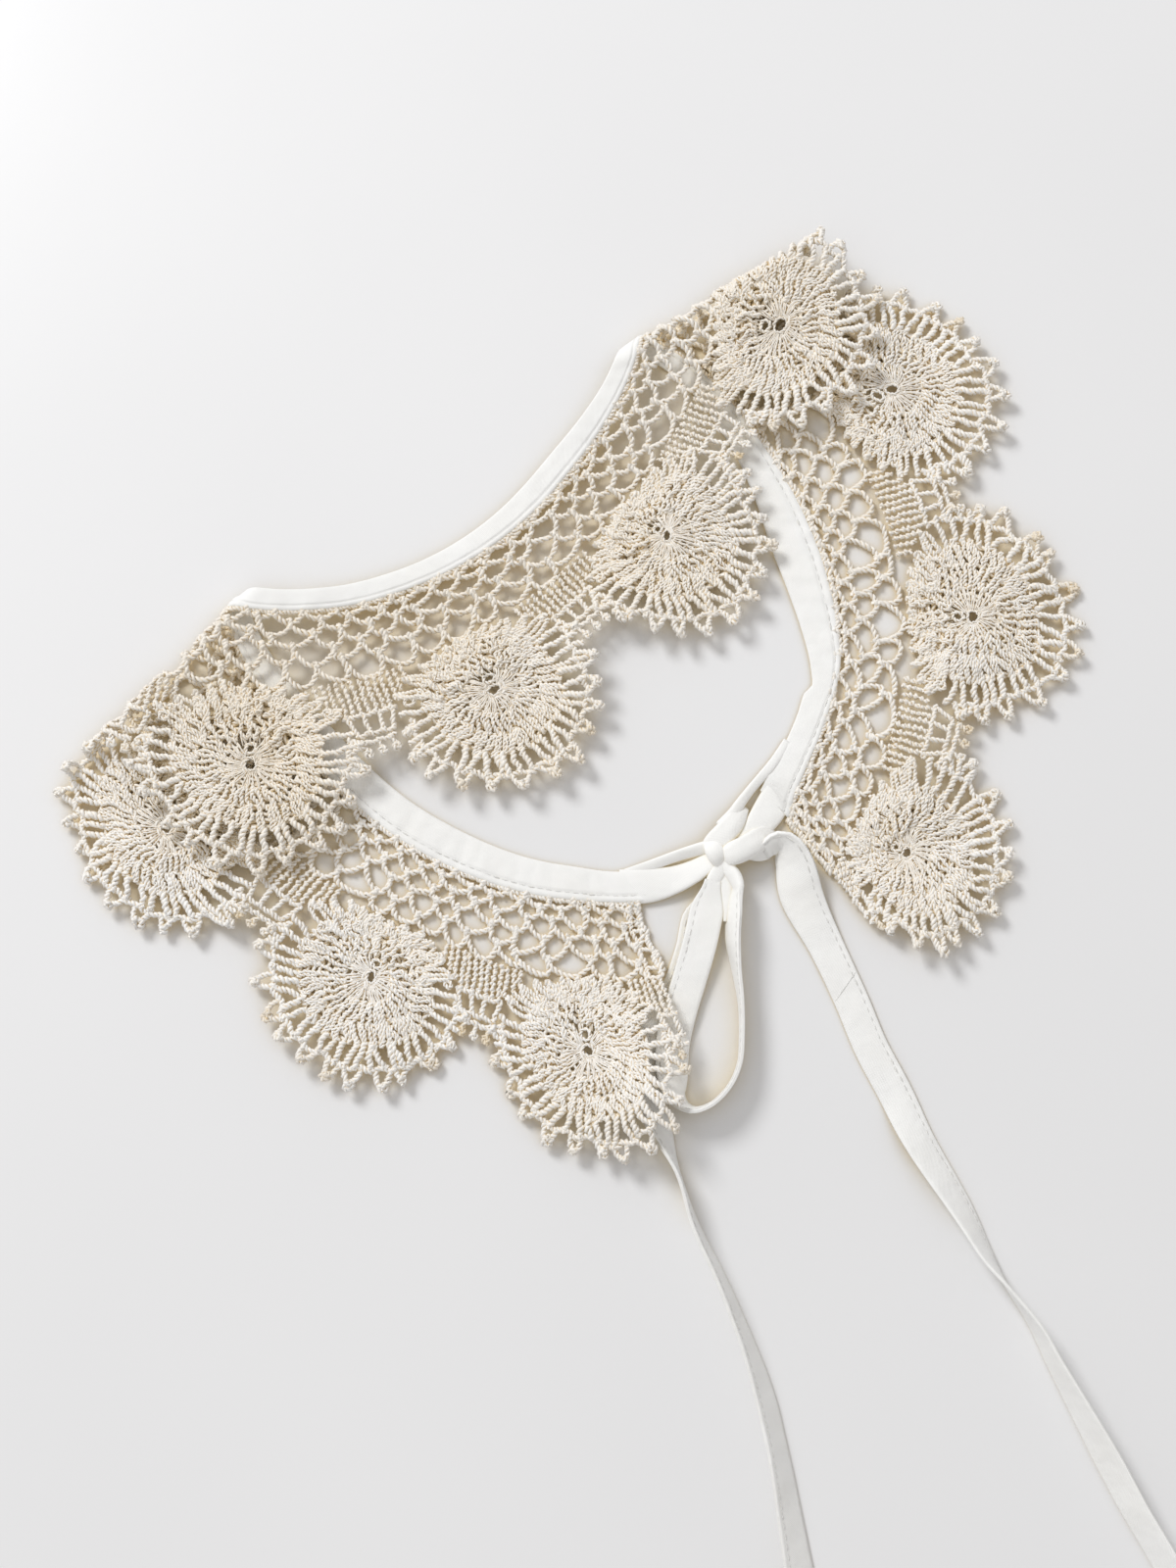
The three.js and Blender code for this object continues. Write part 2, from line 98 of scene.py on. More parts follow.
def table(names, rows):
    """Rows of numbers as one array for each named column."""
    return dict(zip(names, np.array(rows, float).T))


def read(rows, column, at):
    """A smooth curve through one column of a table, read at any places along it."""
    place, value = rows["at"], rows[column]
    slope = np.empty_like(value)
    slope[1:-1] = (value[2:] - value[:-2]) / (place[2:] - place[:-2])
    slope[0] = (value[1] - value[0]) / (place[1] - place[0])
    slope[-1] = (value[-1] - value[-2]) / (place[-1] - place[-2])
    i = np.clip(np.searchsorted(place, at) - 1, 0, len(place) - 2)
    span = place[i + 1] - place[i]
    t = np.clip((at - place[i]) / span, 0, 1)
    ease = t * t * (3 - 2 * t)
    bend = span * t * (1 - t) * ((1 - t) * slope[i] - t * slope[i + 1])
    return value[i] * (1 - ease) + value[i + 1] * ease + bend


def smooth_step(low, high, value):
    """0 up to low, 1 from high, and a soft slope between."""
    t = np.clip((value - low) / (high - low), 0, 1)
    return t * t * (3 - 2 * t)


def bell(value, middle, width):
    """1 at the middle, and down to 0 softly on both sides."""
    return np.exp(-((value - middle) / width) ** 2)


# %% The two halves of the ring
REPEATS = 10
NECK_RADIUS = 78.5
REPEAT_ANGLE = math.radians(31.4)
MEDALLION_DEPTH = 42
YOKE_DEPTH = 22
LACE_DEPTH = 72
TAPE_WIDTH = 9.3
RING_CENTRE = np.array([-12.5, 23.9])
LEFT = table(COLUMNS, [
    (-0.50, 306.0, 92.0, 134.0, 1.00, 0.0, 6.5),
    (-0.25, 298.5, 93.2, 134.0, 1.00, 0.0, 9.5),
    (0.0, 290.3, 89.5, 131.0, 1.00, 0.0, 8.5),
    (0.5, 278.1, 84.0, 126.1, 1.02, 0.0, 9.2),
    (1.5, 248.6, 75.5, 112.8, 1.03, 0.0, 10.0),
    (2.5, 213.1, 73.0, 117.5, 0.86, 0.0, 9.0),
    (3.5, 178.0, 84.0, 128.3, 1.00, 0.0, 6.0),
    (4.5, 146.9, 94.3, 131.2, 1.00, 0.0, 6.0),
    (5.5, 119.5, 106.0, 139.6, 1.00, 0.0, 6.0),
])
RIGHT = table(COLUMNS, [
    (4.5, 131.0, 82.0, 118.5, 1.00, 0.0, 7.0),
    (5.5, 98.6, 79.4, 112.9, 1.00, 0.0, 7.0),
    (6.5, 65.3, 84.0, 122.7, 0.93, 0.0, 5.0),
    (7.5, 30.5, 80.6, 120.6, 1.00, 0.0, 8.0),
    (8.5, -2.1, 86.0, 123.8, 1.00, 0.0, 10.0),
    (9.5, -34.2, 91.5, 126.8, 0.97, 0.0, 9.0),
    (10.0, -40.8, 95.0, 131.0, 1.00, -5.5, 10.5),
    (10.25, -46.0, 95.3, 134.0, 1.00, -5.5, 11.5),
])
LEFT_FOLD = {"angle": math.radians(46.2), "offset": 53.9}
RIGHT_FOLD = {"angle": math.radians(31.1), "offset": 44.8}
BACK_BLEND = (4.5, 5.5)
FOLD_RADIUS = 3.0
LACE_MIDDLE, NECK_MIDDLE, NECK_REACH = 0.9, 1.1, 12
OVER_TABLE, OVER_LACE, SETTLE_LENGTH = 2.6, 4.5, 14
LOWER_LACE = (48, 62)
SWELLS = table(("at", "out", "height", "reach"), [
    (0.23, 61, 9.6, 17),
    (0.04, 35, 4.4, 14),
    (9.9, 62, 3.5, 16),
    (8.0, 32, 2.2, 13),
    (9.0, 34, 3.0, 14),
    (2.0, 38, 1.6, 12),
    (5.0, 48, 1.8, 16),
])


# %% Laying a place of the pattern on the table
def open_point(rows, at, out):
    """A place in one half's own plane, before it is folded."""
    neck, centre = read(rows, "neck", at), read(rows, "centre", at)
    turn = np.radians(read(rows, "turn", at) + read(rows, "skew", at) * out / LACE_DEPTH)
    radius = neck + out * (centre - neck) / MEDALLION_DEPTH
    radius = np.where(out < 0, neck + out * read(rows, "tape", at) / TAPE_WIDTH, radius)
    reach = centre + (out - MEDALLION_DEPTH) * read(rows, "fan", at)
    radius = np.where(out > MEDALLION_DEPTH, reach, radius)
    return radius * np.cos(turn), radius * np.sin(turn)


def swell(at, out):
    """How far soft swells lift the lace: over the loop, at ridges and where the fold bridges."""
    lift = np.zeros_like(at)
    for place, middle, height, reach in zip(*SWELLS.values()):
        sideways = (at - place) * REPEAT_ANGLE * (NECK_RADIUS + middle)
        lift += height * bell(np.hypot(sideways, out - middle), 0, reach)
    return lift


def fold_over(rows, fold, at, out):
    """Rolls one half over its fold line and gives the middle of the cloth."""
    x, y = open_point(rows, at, out)
    sine, cosine = math.sin(fold["angle"]), math.cos(fold["angle"])
    beyond = -x * sine + y * cosine - fold["offset"]
    low = LACE_MIDDLE + (NECK_MIDDLE - LACE_MIDDLE) * smooth_step(-NECK_REACH, 0, -out)
    roll = np.clip(beyond / FOLD_RADIUS, 0, np.pi)
    past = beyond - np.pi * FOLD_RADIUS
    moved = FOLD_RADIUS * np.sin(roll) - np.maximum(past, 0) - np.maximum(beyond, 0)
    x, y = x - sine * moved, y + cosine * moved
    rest = OVER_TABLE + (OVER_LACE - OVER_TABLE) * smooth_step(*LOWER_LACE, np.hypot(x, y))
    crest = 2 * FOLD_RADIUS + LACE_MIDDLE
    high = rest + (crest - rest) * np.exp(-np.maximum(past, 0) / SETTLE_LENGTH)
    return np.stack([x, y, low + (high - low) * (1 - np.cos(roll)) / 2], -1)


def lay_down(at, out):
    """Places in the pattern, laid on the table, in millimetres."""
    share = smooth_step(*BACK_BLEND, at)[..., None]
    left = fold_over(LEFT, LEFT_FOLD, at, out)
    right = fold_over(RIGHT, RIGHT_FOLD, at, out)
    point = left * (1 - share) + right * share
    point[..., 2] += swell(at, out)
    point[..., :2] += RING_CENTRE
    return point


def face_side(at, out):
    """The direction that the cloth's face looks in, which turns over with the fold."""
    step = 0.4
    turn = step / (REPEAT_ANGLE * (NECK_RADIUS + out))
    along = lay_down(at + turn, out) - lay_down(at - turn, out)
    outward = lay_down(at, out + step) - lay_down(at, out - step)
    side = np.cross(along, outward)
    return side / np.linalg.norm(side, axis=-1, keepdims=True)


def above_cloth(at, out, rise):
    """Places in the pattern, laid on the table and raised on the side that the cloth faces."""
    return lay_down(at, out) + face_side(at, out) * rise[:, None]


middle_of_first = lay_down(np.array([0.5]), np.array([float(MEDALLION_DEPTH)]))[0]
print("the first medallion's centre lies at", middle_of_first.round(1), "mm")

# %% [markdown]
# ## The ties and the loop
#
# The ties are the neck tape running on: cotton bias tape, folded double, 9.3 mm wide and stitched
# near one edge. It is limp but its folded edges are firm, so it twists and stands on edge. Each
# runs along a listed route, with a lean that says how far it has turned on edge.

# %% Routes of the tape, from the ring centre
ROUTE = ("x", "y", "above", "lean")
TIE_LEFT = table(ROUTE, [
    (51.7, -82.2, 0.4, 0),
    (48.3, -88.0, 0.1, 0),
    (46.0, -98.0, 0.1, 0),
    (41.5, -109.5, 0.1, 0),
    (35.0, -118.0, 0.1, 0),
    (32.0, -127.0, 0.1, 8),
    (33.2, -136.5, 0.1, 22),
    (37.4, -146.1, 0.1, 52),
    (41.6, -157.0, 0.1, 84),
    (46.3, -171.0, 0.1, 78),
    (52.7, -184.4, 0.1, 73),
    (59.7, -201.6, 0.1, 65),
    (64.0, -214.8, 0.1, 55),
    (67.4, -229.8, 0.1, 53),
    (70.6, -248.3, 0.1, 43),
    (72.1, -257.3, 0.1, 36),
    (74.6, -272.0, 0.1, 18),
    (78.0, -287.0, 0.2, 0),
])
TIE_RIGHT = table(ROUTE, [
    (65.4, -71.2, 1.4, -30),
    (67.8, -69.2, 1.3, -40),
    (70.6, -68.8, 1.0, -48),
    (73.4, -73.0, 1.1, -35),
    (76.0, -83.0, 0.7, -12),
    (82.9, -97.2, 0.3, 0),
    (89.1, -111.1, 0.2, 0),
    (94.1, -123.7, 0.2, 0),
    (100.5, -136.3, 0.2, 0),
    (106.1, -148.5, 0.1, 20),
    (116.9, -166.8, 0.1, 44),
    (123.5, -179.4, 0.1, 65),
    (128.0, -186.3, 0.1, 84),
    (135.6, -197.4, 0.1, 100),
    (139.7, -205.6, 0.1, 106),
    (147.0, -219.3, 0.1, 118),
    (153.4, -231.4, 0.1, 128),
    (159.7, -243.6, 0.1, 128),
    (165.4, -253.5, 0.1, 128),
    (170.5, -263.0, 0.1, 128),
])
BOW_LOOP = table(ROUTE, [
    (51.8, -78.9, 3.3, 4),
    (50.6, -84.5, 3.4, 0),
    (48.1, -95.8, 2.9, 0),
    (45.1, -106.0, 1.7, 0),
    (42.6, -114.0, 1.4, 2),
    (40.6, -123.0, 0.5, 6),
    (40.4, -131.0, 0.1, 20),
    (41.6, -137.4, 0.1, 58),
    (45.5, -140.4, 0.1, 79),
    (50.5, -139.2, 0.3, 86),
    (55.6, -134.2, 0.2, 88),
    (58.3, -128.3, 0.2, 89),
    (59.0, -121.7, 0.2, 89),
    (58.8, -111.0, 0.3, 87),
    (57.7, -102.8, 0.5, 81),
    (56.8, -93.8, 1.1, 69),
    (57.3, -86.0, 1.4, 66),
    (58.5, -80.4, 1.2, 68),
])
TIE_THICKNESS = 1.0
HALF_TAPE = TAPE_WIDTH / 2
TIE_STEP, LOOP_STEP, FINE_STEPS = 1.6, 1.2, 40


# %% A smooth path with the cloth's own directions
def smooth_path(points, along):
    """A curve through the points that doesn't overshoot, at places from 0 to the last point."""
    ends = (2 * points[:1] - points[1:2], points, 2 * points[-1:] - points[-2:-1])
    p = np.concatenate(ends)
    i = np.clip(np.floor(along).astype(int), 0, len(points) - 2)
    t = (along - i)[:, None]
    p0, p1, p2, p3 = p[i], p[i + 1], p[i + 2], p[i + 3]
    d0, d1, d2 = (np.sqrt(np.linalg.norm(b - a, axis=1, keepdims=True))
                  for a, b in ((p0, p1), (p1, p2), (p2, p3)))
    start = ((p1 - p0) / d0 - (p2 - p0) / (d0 + d1) + (p2 - p1) / d1) * d1
    end = ((p2 - p1) / d1 - (p3 - p1) / (d1 + d2) + (p3 - p2) / d2) * d1
    square, cube = t * t, t * t * t
    return (p1 * (2 * cube - 3 * square + 1) + p2 * (3 * square - 2 * cube)
            + start * (cube - 2 * square + t) + end * (cube - square))


def distance_along(points):
    """How far along its path each point lies."""
    return np.concatenate([[0], np.cumsum(np.linalg.norm(np.diff(points, axis=0), axis=1))])


def numbered(route):
    """A route's columns with the number of each point, to read them by."""
    return {"at": np.arange(len(route["x"]), dtype=float), **route}


def lean_over(forward, lean):
    """The directions across and up of cloth that runs forward and leans by an angle."""
    forward = forward / np.linalg.norm(forward, axis=1, keepdims=True)
    level = np.stack([forward[:, 1], -forward[:, 0], 0 * forward[:, 0]], -1)
    level /= np.linalg.norm(level, axis=1, keepdims=True)
    across = level * np.cos(lean) - np.cross(forward, level) * np.sin(lean)
    return across, np.cross(across, forward)


def tape_frame(route, step):
    """The middle line of a tape and its directions across and up, a step apart."""
    points = np.stack([route["x"], route["y"], route["above"]], -1)
    last = len(points) - 1
    fine = np.linspace(0, last, FINE_STEPS * len(points))
    reached = distance_along(smooth_path(points, fine))
    length = np.linspace(0, reached[-1], round(reached[-1] / step) + 1)
    place = np.interp(length, reached, fine)
    middle = smooth_path(points, place)
    middle[:, :2] += RING_CENTRE
    nudge = 0.01
    forward = (smooth_path(points, np.minimum(place + nudge, last))
               - smooth_path(points, np.maximum(place - nudge, 0)))
    lean = np.radians(read(numbered(route), "lean", place))[:, None]
    across, up = lean_over(forward, lean)
    middle[:, 2:] += HALF_TAPE * np.abs(np.sin(lean)) + TIE_THICKNESS / 2 * np.abs(np.cos(lean))
    return {"middle": middle, "across": across, "up": up, "length": length}


frames = {"tie_left": tape_frame(TIE_LEFT, TIE_STEP), "tie_right": tape_frame(TIE_RIGHT, TIE_STEP),
          "bow_loop": tape_frame(BOW_LOOP, LOOP_STEP)}
for name, made in frames.items():
    print(name, "is", round(float(made["length"][-1])), "mm long")

# %% [markdown]
# ## The tape's section
#
# Bias tape has its raw edges folded in and is then folded double, so from the end it is four
# layers: round at the fold, a thin slit between the two folded edges, and a long dent where the
# machine stitches pull it together. One section of that shape is swept along each path, which is
# quicker and cleaner than a flat strip with a thickness added.

# %% Small helpers for making meshes
MM_IN_CM = 10


def faces_out(piece):
    """Turns every face of a closed mesh outwards."""
    work = bmesh.new()
    work.from_mesh(piece.data)
    bmesh.ops.recalc_face_normals(work, faces=work.faces)
    work.to_mesh(piece.data)
    work.free()


def new_mesh(name, points, faces):
    """A smooth closed mesh object from points in millimetres."""
    mesh = bpy.data.meshes.new(name)
    mesh.from_pydata((np.asarray(points) * MM).tolist(), [], [tuple(f) for f in faces])
    mesh.polygons.foreach_set("use_smooth", [True] * len(mesh.polygons))
    mesh.update()
    piece = put_in_scene(name, mesh)
    faces_out(piece)
    return piece


def tube_faces(rings, sides):
    """Faces round rings of points, with a cap on each end."""
    faces = []
    for ring in range(rings - 1):
        for side in range(sides):
            a, b = ring * sides + side, ring * sides + (side + 1) % sides
            faces.append((a, b, b + sides, a + sides))
    for end in (0, (rings - 1) * sides):
        faces.append((end, end + 1, end + sides - 1))
        for side in range(1, sides // 2 - 1):
            faces.append((end + side, end + side + 1, end + sides - side - 1, end + sides - side))
        half = end + sides // 2
        faces.append((half - 1, half, half + 1))
    return faces


def write_uv(piece, along, across):
    """A UV map in centimetres along and across the cloth, from one pair for each vertex."""
    layer = piece.data.uv_layers.new(name="cloth")
    corner = np.zeros(len(piece.data.loops), int)
    piece.data.loops.foreach_get("vertex_index", corner)
    pair = np.stack([np.asarray(along)[corner], np.asarray(across)[corner]], -1) / MM_IN_CM
    layer.data.foreach_set("uv", pair.ravel())
    print(piece.name, "has", len(piece.data.polygons), "faces")


# %% The section of a folded tape
STITCH_INSET = 1.5
STITCH_DENT = 0.25


def tape_section():
    """Places (across, rise) round the tape, from the slit between its two folded edges."""
    stitch = HALF_TAPE - STITCH_INSET
    top = [
        (HALF_TAPE - 0.25, 0.0),
        (HALF_TAPE, 0.5),
        (HALF_TAPE - 0.2, 0.9),
        (stitch + 0.75, 1.0),
        (stitch, 1.0 - STITCH_DENT),
        (stitch - 0.75, 1.0),
        (HALF_TAPE * 0.2, 1.0),
        (-HALF_TAPE * 0.3, 0.96),
        (-HALF_TAPE * 0.75, 1.0),
        (-HALF_TAPE + 0.3, 0.85),
        (-HALF_TAPE, 0.0),
    ]
    under = [(across, -rise) for across, rise in top[-2:0:-1]]
    return np.array(top + under) * [1, TIE_THICKNESS / 2]


# %% Sweep the ties and the loop
SQUEEZED, SQUEEZE_LENGTH, PUFF = 0.5, 9, 1.4
OPENED_AT, OPENED_LENGTH = 18, 13
RIPPLES, RIPPLE_LENGTHS, RIPPLE_HEIGHT = 4, (9, 34), 0.05
ABOVE_TABLE = 0.02
ANY_TURN = (0, 6.3)


def knot_squeeze(length, squeezed_ends, opened):
    """How wide the tape is along its length, where 1 is its flat width.

    The knot that grips it leaves SQUEEZED of its width, and past the knot its fold may open."""
    keep = 1 + opened * bell(length, OPENED_AT, OPENED_LENGTH)
    distances = {"start": length, "end": length[-1] - length}
    for end in squeezed_ends:
        keep *= SQUEEZED + (1 - SQUEEZED) * smooth_step(0, SQUEEZE_LENGTH, distances[end])
    return keep


def puffed(keep):
    """How much higher the tape stands where it is squeezed, for its cloth has to go somewhere."""
    return 1 + PUFF - PUFF * np.minimum(keep, 1)


def sweep_tape(name, made, seed):
    """A closed tape along its frame; it ripples a little, as cotton does after it is unfolded."""
    rng = np.random.default_rng(seed)
    section = tape_section()
    steps = len(made["length"])
    keep = made["keep"][:, None]
    ripple = np.zeros(steps)
    for wave in rng.uniform(*RIPPLE_LENGTHS, RIPPLES):
        ripple += RIPPLE_HEIGHT * np.sin(made["length"] * 2 * np.pi / wave + rng.uniform(*ANY_TURN))
    side = section[:, 0] * made["stitched_side"]
    crown = 1 - (side / HALF_TAPE) ** 2
    rise = section[:, 1] * puffed(keep) + crown * ripple[:, None]
    points = made["middle"][:, None] + made["across"][:, None] * (side * keep)[..., None]
    points = points + made["up"][:, None] * rise[..., None]
    points[..., 2] = np.maximum(points[..., 2], ABOVE_TABLE)
    piece = new_mesh(name, points.reshape(-1, 3), tube_faces(steps, len(section)))
    write_uv(piece, np.repeat(made["length"], len(section)), np.tile(side, steps))
    return piece


TAPES = {"tie_left": ("tie_tape_left", 1, ["start"], 0.0, "bare"),
         "tie_right": ("tie_tape_right", -1, ["start"], 0.3, "bare"),
         "bow_loop": ("bow_loop_tape", 1, ["start", "end"], 0.0, "object")}
tapes = {}
for seed, (node, (name, stitched_side, squeezed_ends, opened, far_end)) in enumerate(TAPES.items()):
    frames[node]["stitched_side"] = stitched_side
    frames[node]["keep"] = knot_squeeze(frames[node]["length"], squeezed_ends, opened)
    tapes[node] = sweep_tape(name, frames[node], seed)
    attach(tapes[node], "root")
    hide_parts(node)
    path = frames[node]["middle"] * MM
    tuple(path[0])

# %% [markdown]
# ## Cotton thread and cotton tape
#
# The crochet thread is unbleached mercerised cotton: a warm cream with a faint sheen, a little
# different from stitch to stitch, and tan where the picots have aged. The tape is newer, a bright
# off-white plain weave cut on the bias, so its threads cross it at 45 degrees. Both are built from
# noise and waves on the cloth's own coordinates, so nothing slides when the collar turns. Both
# also have painted shade: the thread goes ochre in the gaps between stitches and a darker tan on
# the collar's back and near the neck, and the tape goes cream in its folds.

# %% Helpers for node trees
SHEEN_ROUGHNESS = 0.4
SHELTER_SAMPLES = 6
VECTORS = "ShaderNodeVectorMath"


def feed(tree, socket, value):
    """Gives a socket a plain value, or another node's output to follow."""
    if isinstance(value, bpy.types.NodeSocket):
        tree.links.new(value, socket)
    else:
        socket.default_value = value


def add_node(tree, kind, inputs=None, **settings):
    """A new node with its settings, and with what goes into its inputs."""
    node = tree.nodes.new(kind)
    for name, value in settings.items():
        setattr(node, name, value)
    for name, value in (inputs or {}).items():
        feed(tree, node.inputs[name], value)
    return node


def calculate(tree, operation, *values, kind="ShaderNodeMath"):
    """A maths node: each value is a number or another node's output."""
    node = add_node(tree, kind, operation=operation)
    for socket, value in zip(node.inputs, values):
        feed(tree, socket, value)
    return node.outputs[0]


def new_material(name, roughness, sheen):
    """A material with its tree, its shader and its object coordinates at hand."""
    material = bpy.data.materials.new(name)
    material.use_nodes = True
    tree = material.node_tree
    shader = tree.nodes["Principled BSDF"]
    shader.inputs["Roughness"].default_value = roughness
    shader.inputs["Sheen Weight"].default_value = sheen
    shader.inputs["Sheen Roughness"].default_value = SHEEN_ROUGHNESS
    return material, tree, shader, add_node(tree, "ShaderNodeTexCoord").outputs["Object"]


def noise(tree, coordinate, scale, detail=2.0):
    """Soft random patches, finer as the scale grows."""
    node = add_node(tree, "ShaderNodeTexNoise",
                    {"Vector": coordinate, "Scale": scale, "Detail": detail})
    return node.outputs["Fac"]


def mix_colours(tree, factor, first, second):
    """Blends two colours, each a tuple or another node's output."""
    first, second = ((*colour, 1) if isinstance(colour, tuple) else colour
                     for colour in (first, second))
    node = add_node(tree, "ShaderNodeMix", {"Factor": factor, "A": first, "B": second},
                    data_type="RGBA")
    return node.outputs["Result"]


def remap(tree, value, low, high, bottom=0.0, top=1.0):
    """Stretches a value from low..high to bottom..top; a ramp here is these four numbers."""
    node = add_node(tree, "ShaderNodeMapRange",
                    {"Value": value, "From Min": low, "From Max": high, "To Min": bottom,
                     "To Max": top})
    return node.outputs["Result"]


def bump(tree, shader, height, distance, strength=1.0):
    """Makes the surface look raised where the height is greater."""
    node = add_node(tree, "ShaderNodeBump",
                    {"Height": height, "Distance": distance, "Strength": strength})
    tree.links.new(node.outputs["Normal"], shader.inputs["Normal"])


def shelter(tree, reach):
    """1 in the open and less in the gaps between stitches and under folds."""
    node = add_node(tree, "ShaderNodeAmbientOcclusion", {"Distance": reach},
                    samples=SHELTER_SAMPLES)
    return node.outputs["AO"]


# %% Cream crochet cotton
CREAM = (0.935, 0.905, 0.87)
PALE_CREAM = (0.96, 0.945, 0.925)
WARM_CREAM = (0.92, 0.86, 0.77)
AGED_AND_SHADED_TAN = (0.78, 0.66, 0.48)
GAP_SHADE_OCHRE = (0.97, 0.79, 0.47)
GAP_REACH = 7.0 * MM
GAP_RAMP = (0.08, 0.52, 1.0, 0.0)
WORN_SCALE, WORN_RAMP = 28, (0.42, 0.75, 0.0, 0.55)
FIBRE_SCALE, FIBRE_DEPTH = 2600, 0.12 * MM


def crochet_cotton():
    """Cream thread, with painted ochre shade in the gaps where light bounces between stitches."""
    material, tree, shader, where = new_material("cream crochet cotton", roughness=0.55,
                                                 sheen=0.25)
    tone, age_and_shade = (add_node(tree, "ShaderNodeAttribute", attribute_name=name).outputs["Fac"]
                  for name in ("tone", "tan"))
    strand = mix_colours(tree, tone, CREAM, PALE_CREAM)
    patch = remap(tree, noise(tree, where, WORN_SCALE), *WORN_RAMP)
    worn = mix_colours(tree, patch, strand, WARM_CREAM)
    # The tan attribute is the picots' real ageing, and painted shade on the collar's back and near
    # the neck.
    aged_and_shaded_colour = mix_colours(tree, age_and_shade, worn, AGED_AND_SHADED_TAN)
    # Painted shade: ochre where little light reaches, in the gaps between stitches and under other
    # layers.
    gaps = remap(tree, shelter(tree, GAP_REACH), *GAP_RAMP)
    tree.links.new(mix_colours(tree, gaps, aged_and_shaded_colour, GAP_SHADE_OCHRE), shader.inputs["Base Color"])
    bump(tree, shader, noise(tree, where, FIBRE_SCALE, detail=3.0), FIBRE_DEPTH, strength=0.5)
    return material


crochet_thread = crochet_cotton()


# %% Off-white bias tape
TAPE_WHITE = (0.985, 0.983, 0.972)
TAPE_SHADE = (0.96, 0.953, 0.93)
FOLD_SHADE_CREAM = (0.86, 0.76, 0.52)
FOLD_REACH, FOLD_RAMP = 5 * MM, (0.1, 0.7, 0.9, 0.0)
WEAVE, WEAVE_DEPTH = {"Scale": 8.0, "Distortion": 1.2, "Detail": 1.0}, 0.1 * MM
SHADE_SCALE, SHADE_RAMP = 60, (0.35, 0.8)
WRINKLE_SCALE, WRINKLE_DEPTH = 240, 5.0


def bias_cotton():
    """Plain weave: two waves that cross at 45 degrees to the tape, over and under each other."""
    material, tree, shader, where = new_material("off-white bias tape", roughness=0.7, sheen=0.2)
    cloth = add_node(tree, "ShaderNodeUVMap", uv_map="cloth").outputs["UV"]
    weave = []
    for turn in (45, 135):
        grain = add_node(tree, "ShaderNodeMapping", {"Vector": cloth})
        grain.inputs["Rotation"].default_value[2] = math.radians(turn)
        wave = add_node(tree, "ShaderNodeTexWave", {"Vector": grain.outputs["Vector"], **WEAVE})
        weave.append(wave.outputs["Fac"])
    wrinkles = noise(tree, where, WRINKLE_SCALE, detail=1.0)
    height = calculate(tree, "MULTIPLY_ADD", wrinkles, WRINKLE_DEPTH,
                       calculate(tree, "MAXIMUM", *weave))
    patch = remap(tree, noise(tree, where, SHADE_SCALE), *SHADE_RAMP)
    flat = mix_colours(tree, patch, TAPE_WHITE, TAPE_SHADE)
    # Painted shade: cream in the tape's folds and under the knot's wraps, where little light
    # reaches.
    folds = remap(tree, shelter(tree, FOLD_REACH), *FOLD_RAMP)
    tree.links.new(mix_colours(tree, folds, flat, FOLD_SHADE_CREAM), shader.inputs["Base Color"])
    bump(tree, shader, height, WEAVE_DEPTH, strength=0.7)
    return material


bias_tape = bias_cotton()


# %% White sewing thread
SEWING_WHITE = (0.88, 0.87, 0.85)
SEWING_GREY = (0.72, 0.72, 0.71)
SEWING_PATCHES, SEWING_FIBRES, SEWING_DEPTH = 400, 5000, 0.05 * MM


def sewing_cotton():
    """Fine white thread, greyer here and there."""
    material, tree, shader, where = new_material("white sewing thread", roughness=0.5, sheen=0.1)
    colour = mix_colours(tree, noise(tree, where, SEWING_PATCHES), SEWING_WHITE, SEWING_GREY)
    tree.links.new(colour, shader.inputs["Base Color"])
    bump(tree, shader, noise(tree, where, SEWING_FIBRES), SEWING_DEPTH)
    return material


sewing_thread = sewing_cotton()
for piece in tapes.values():
    piece.data.materials.append(bias_tape)

# %% [markdown]
# ## Twisting thread
#
# Crochet cotton is plied: two plies wound round each other, which gives a chain its row of little
# slanted bumps. Modelling each bump would be hopeless, so a Geometry Nodes tree does it: it takes
# bare paths, offsets two copies of each into a double helix, and sweeps a small circle along both.
# Each path carries its own thickness and pitch, so one tree makes tight chains and long loose
# strands alike. The same tree makes the sewing thread, with smaller sizes.

# %% The thread tree
THREAD_SIZES = {"Ply radius": 0.49 * MM, "Twist radius": 0.47 * MM, "Unevenness": 1.3 * MM,
                "Step": 0.23}
THREAD_SIDES = 4
SLUB_SCALE = 560
MIDDLE_GREY = (0.5, 0.5, 0.5)


def scale_vector(tree, vector, factor):
    """A vector made longer or shorter by a number that another node gives."""
    node = add_node(tree, VECTORS, {"Vector": vector, "Scale": factor}, operation="SCALE")
    return node.outputs[0]


def attribute(tree, name):
    """A number that each point of the paths carries."""
    return add_node(tree, "GeometryNodeInputNamedAttribute", {"Name": name},
                    data_type="FLOAT").outputs["Attribute"]


def thread_inputs(tree):
    """Names what goes into the tree and what comes out of it, and gives its inputs."""
    face = tree.interface
    face.new_socket("Geometry", in_out="INPUT", socket_type="NodeSocketGeometry")
    for name, value in THREAD_SIZES.items():
        face.new_socket(name, in_out="INPUT", socket_type="NodeSocketFloat").default_value = value
    sides = face.new_socket("Sides", in_out="INPUT", socket_type="NodeSocketInt")
    sides.default_value = THREAD_SIDES
    face.new_socket("Material", in_out="INPUT", socket_type="NodeSocketMaterial")
    face.new_socket("Geometry", in_out="OUTPUT", socket_type="NodeSocketGeometry")
    return add_node(tree, "NodeGroupInput").outputs


